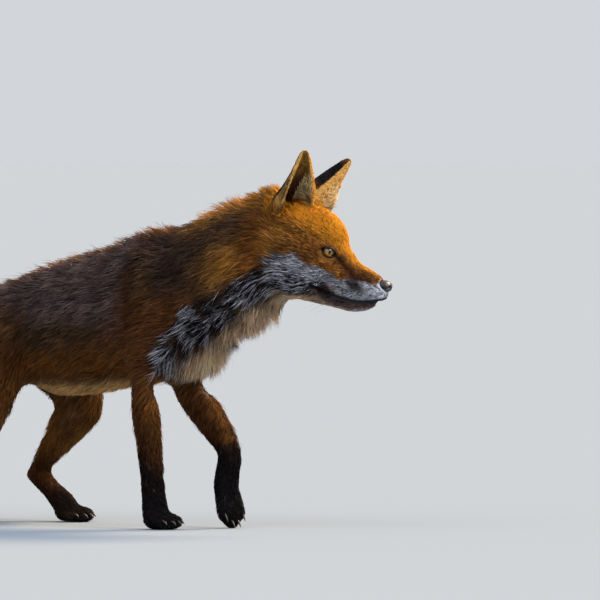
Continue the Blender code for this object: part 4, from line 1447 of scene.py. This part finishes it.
wetEye, tree = newMaterial("wet cornea over an amber iris")  # one clear, sharp highlight
settings = {"Roughness": 0.2, "Specular IOR Level": 0.05}
settings.update({"Coat Weight": 1.0, "Coat Roughness": 0.02, "Coat IOR": 1.45})
colour = addNode(tree, "Attribute", {"attribute_name": "furColour"})
cornea = addNode(tree, "BsdfPrincipled", settings, {"Base Color": (colour, "Color")})
addNode(tree, "OutputMaterial", links={"Surface": (cornea, 0)})
wetRim, tree = newMaterial("moist black eyelid skin")  # near black, with a thin wet line of light
settings = {"Base Color": (*srgb("#120c0b"), 1), "Roughness": 0.5, "Specular IOR Level": 0.3}
lidSkin = addNode(tree, "BsdfPrincipled", settings)
addNode(tree, "OutputMaterial", links={"Surface": (lidSkin, 0)})
eyes, rims = {}, {}
for name, sign in sides.items():
    eyes[name] = eyeball(name, sign)
    eyes[name].data.materials.append(wetEye)
    rims[name] = threads("lids_" + name, *lidRim(sign))
    rims[name].data.materials.append(wetRim)
print("eyes: set behind their lids")


# nose: a pad of grained leather with comma nostrils and a cleft


def noseShape(shape):
    a, b, c = (shape * noseMake["size"] + noseMake["centre"]).T
    front = ramp(a, 111, 117)
    side = np.abs(b)
    # a flatter face and top, and wings that swell beside each nostril
    a = np.where(a > 118, 118 + (a - 118) * 0.75, a)
    c = c - 0.8 * ramp(c, -21, -17) * ramp(a, 118, 106)
    atB, atC = noseMake["nostril"]
    pit = hill(side, atB, 2.0) * hill(c, atC, 1.9)
    tailed = hill(c - 0.12 * (side - 6), -27.2, 0.8) * ramp(side, 4.5, 6) * ramp(a, 106, 112)
    wing = hill(np.hypot(side - atB - 0.4, c - atC), 3.3, 1.1) * front
    cleft = hill(b, 0, 0.55) * ramp(c, -23, -25)
    a = a - noseMake["pit"] * pit * front + 0.55 * wing - 1.1 * cleft * front
    b = b - np.sign(b) * 1.7 * tailed
    return np.stack([a, b, c], 1)


nose = makeBall("nose_leather", 112, 80)
x, y, z = pointsOf(nose.data).T
lying = np.stack([z, y, -x], 1)  # with its poles ahead and behind
setPoints(nose.data, fromHead(noseShape(lying) * mm))
unwrap(nose)
wetNose, tree = newMaterial("moist black nose leather")  # pebbled, so its highlights break up
places = addNode(tree, "TexCoord")
pebbles = addNode(tree, "TexVoronoi", {"Scale": noseMake["grain"] / mm}, {"Vector": (places, "Object")})
settings = {"Strength": 0.35, "Distance": noseMake["bump"], "invert": True}
bump = addNode(tree, "Bump", settings, {"Height": (pebbles, "Distance")})
settings = {"Base Color": (*srgb("#111015"), 1), "Roughness": 0.42}
settings.update({"Coat Weight": 0.15, "Coat Roughness": 0.3})
leather = addNode(tree, "BsdfPrincipled", settings, {"Normal": (bump, "Normal")})
addNode(tree, "OutputMaterial", links={"Surface": (leather, 0)})
nose.data.materials.append(wetNose)


claw, tree = newMaterial("dark horn claw")  # smooth worn keratin, a little glossy
horn = addNode(tree, "BsdfPrincipled", {"Base Color": (*srgb("#2b2420"), 1), "Roughness": 0.36})
addNode(tree, "OutputMaterial", links={"Surface": (horn, 0)})
lines, radii = [], []
for start, middle, end in clawLines:
    shares = np.linspace(0, 1, 9)[:, None]
    a, b, c = (np.array(p) for p in (start, middle, end))
    pull = 2 * b - (a + c) / 2  # makes the curve pass through its middle point
    lines.append((1 - shares) ** 2 * a + 2 * shares * (1 - shares) * pull + shares**2 * c)
    radii.append(np.interp(shares[:, 0], clawMake["at"], clawMake["radii"]) * mm)
claws = threads("claws", lines, radii, 12)
claws.data.materials.append(claw)

whiskerMake = {
    "rows": 4,
    "each": 5,
    "length": (24, 52),  # from the front of a row to its back, in millimetres
    "radius": 0.16,
    "tip": 0.12,  # radius at its end over that at its root
}


def whiskerLines(sign):
    # rooted on the skin of one whisker pad, longer towards the back, and bent down and back
    lines = []
    for row in range(whiskerMake["rows"]):
        for step in range(whiskerMake["each"]):
            a, c = 106 - 5.2 * step - 1.5 * row, -29 - 3.0 * row - 0.4 * step
            beside = Vector(fromHead(np.array((a, 40.0 * sign, c)) * mm))
            found = skinSurface.ray_cast(beside, Vector(headAxes @ (0, -sign, 0)))
            way = unit(np.array((-0.42 - 0.12 * step, sign * (0.80 - 0.06 * step), -0.22 - 0.1 * row)))
            long = np.interp(step, (0, 4), whiskerMake["length"]) * rng.uniform(0.85, 1.1)
            shares = np.linspace(0, 1, 9)[:, None]
            bend = np.array((-0.25, -0.1 * sign, -0.28)) * shares**2
            lines.append(np.array(found[0]) + ((way * shares + bend) * long * mm) @ headAxes.T)
    return lines


lines = whiskerLines(-1) + whiskerLines(1)
radii = [np.linspace(1, whiskerMake["tip"], 9) * whiskerMake["radius"] * mm] * len(lines)
whiskers = threads("whiskers", lines, radii, 6)
stiff, tree = newMaterial("stiff black whisker hair")  # thicker and glossier than the coat
hair = addNode(tree, "BsdfPrincipled", {"Base Color": (*srgb("#231c1a"), 1), "Roughness": 0.4})
addNode(tree, "OutputMaterial", links={"Surface": (hair, 0)})
whiskers.data.materials.append(stiff)
print("nose, claws and whiskers: made")


# a long lens from far off, a floor without a horizon, and soft light with a warm rim from behind
cameraMake = {"azimuth": 45, "elevation": 1.0, "distance": 12.0, "frame": 0.714, "sensor": 36}
target = Vector((0.313, 0.092, 0.271))
studio = {"floor": "#8c98a7", "floorSize": 160, "sky": (0.92, 0.95, 1.0), "skyStrength": 0.7}


def fromAngle(azimuth, elevation):
    turn, lift = math.radians(azimuth), math.radians(elevation)
    return Vector((math.sin(turn) * math.cos(lift), -math.cos(turn) * math.cos(lift), math.sin(lift)))


def aim(obj, place, at):
    obj.location = place
    obj.rotation_euler = (at - place).to_track_quat("-Z", "Y").to_euler()


bpy.ops.object.camera_add()
camera = bpy.context.object
camera.data.lens = cameraMake["sensor"] * cameraMake["distance"] / cameraMake["frame"]
camera.data.clip_end = 200
back = fromAngle(cameraMake["azimuth"], cameraMake["elevation"])
aim(camera, target + back * cameraMake["distance"], target)
bpy.context.scene.camera = camera

bpy.ops.mesh.primitive_plane_add(size=studio["floorSize"])
floor = bpy.context.object
floor.name = "floor"
pale, tree = newMaterial("pale matt floor")  # its tone runs into the sky with no line between them
settings = {"Base Color": (*srgb(studio["floor"]), 1), "Roughness": 1.0, "Specular IOR Level": 0.0}
matt = addNode(tree, "BsdfPrincipled", settings)
addNode(tree, "OutputMaterial", links={"Surface": (matt, 0)})
floor.data.materials.append(pale)

world = bpy.data.worlds.new("studio")
world.use_nodes = True
sky = world.node_tree.nodes["Background"]
sky.inputs["Color"].default_value = (*studio["sky"], 1)
sky.inputs["Strength"].default_value = studio["skyStrength"]
bpy.context.scene.world = world
bpy.context.scene.view_settings.view_transform = "Standard"

lamps = {  # direction as azimuth and elevation, strength, softness as an angle, and colour
    "key": (15, 50, 0.8, 40, "#fff3e2"),
    "rim": (176, 42, 5.5, 24, "#ffdcae"),
    "catch": (100, 35, 2.4, 25, "#ffffff"),
}
for name, (azimuth, elevation, strength, soft, tint) in lamps.items():
    bpy.ops.object.light_add(type="SUN")
    lamp = bpy.context.object
    lamp.name = name
    lamp.data.angle = math.radians(soft)
    lamp.data.energy = strength
    lamp.data.color = srgb(tint)
    aim(lamp, fromAngle(azimuth, elevation) * 3, Vector())

slots = {skin: "red_fur", nose: "nose", claws: "nose", whiskers: "dark_fur"}
slots.update({piece: "red_fur" for piece in coats.values()})
slots.update({piece: "eye" for piece in eyes.values()})
slots.update({piece: "nose" for piece in rims.values()})
for piece, slot in slots.items():
    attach(piece, "root")
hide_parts(*fleshNodes)
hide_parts("nose")
for name, ball in eyes.items():
    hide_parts("eye_" + name)
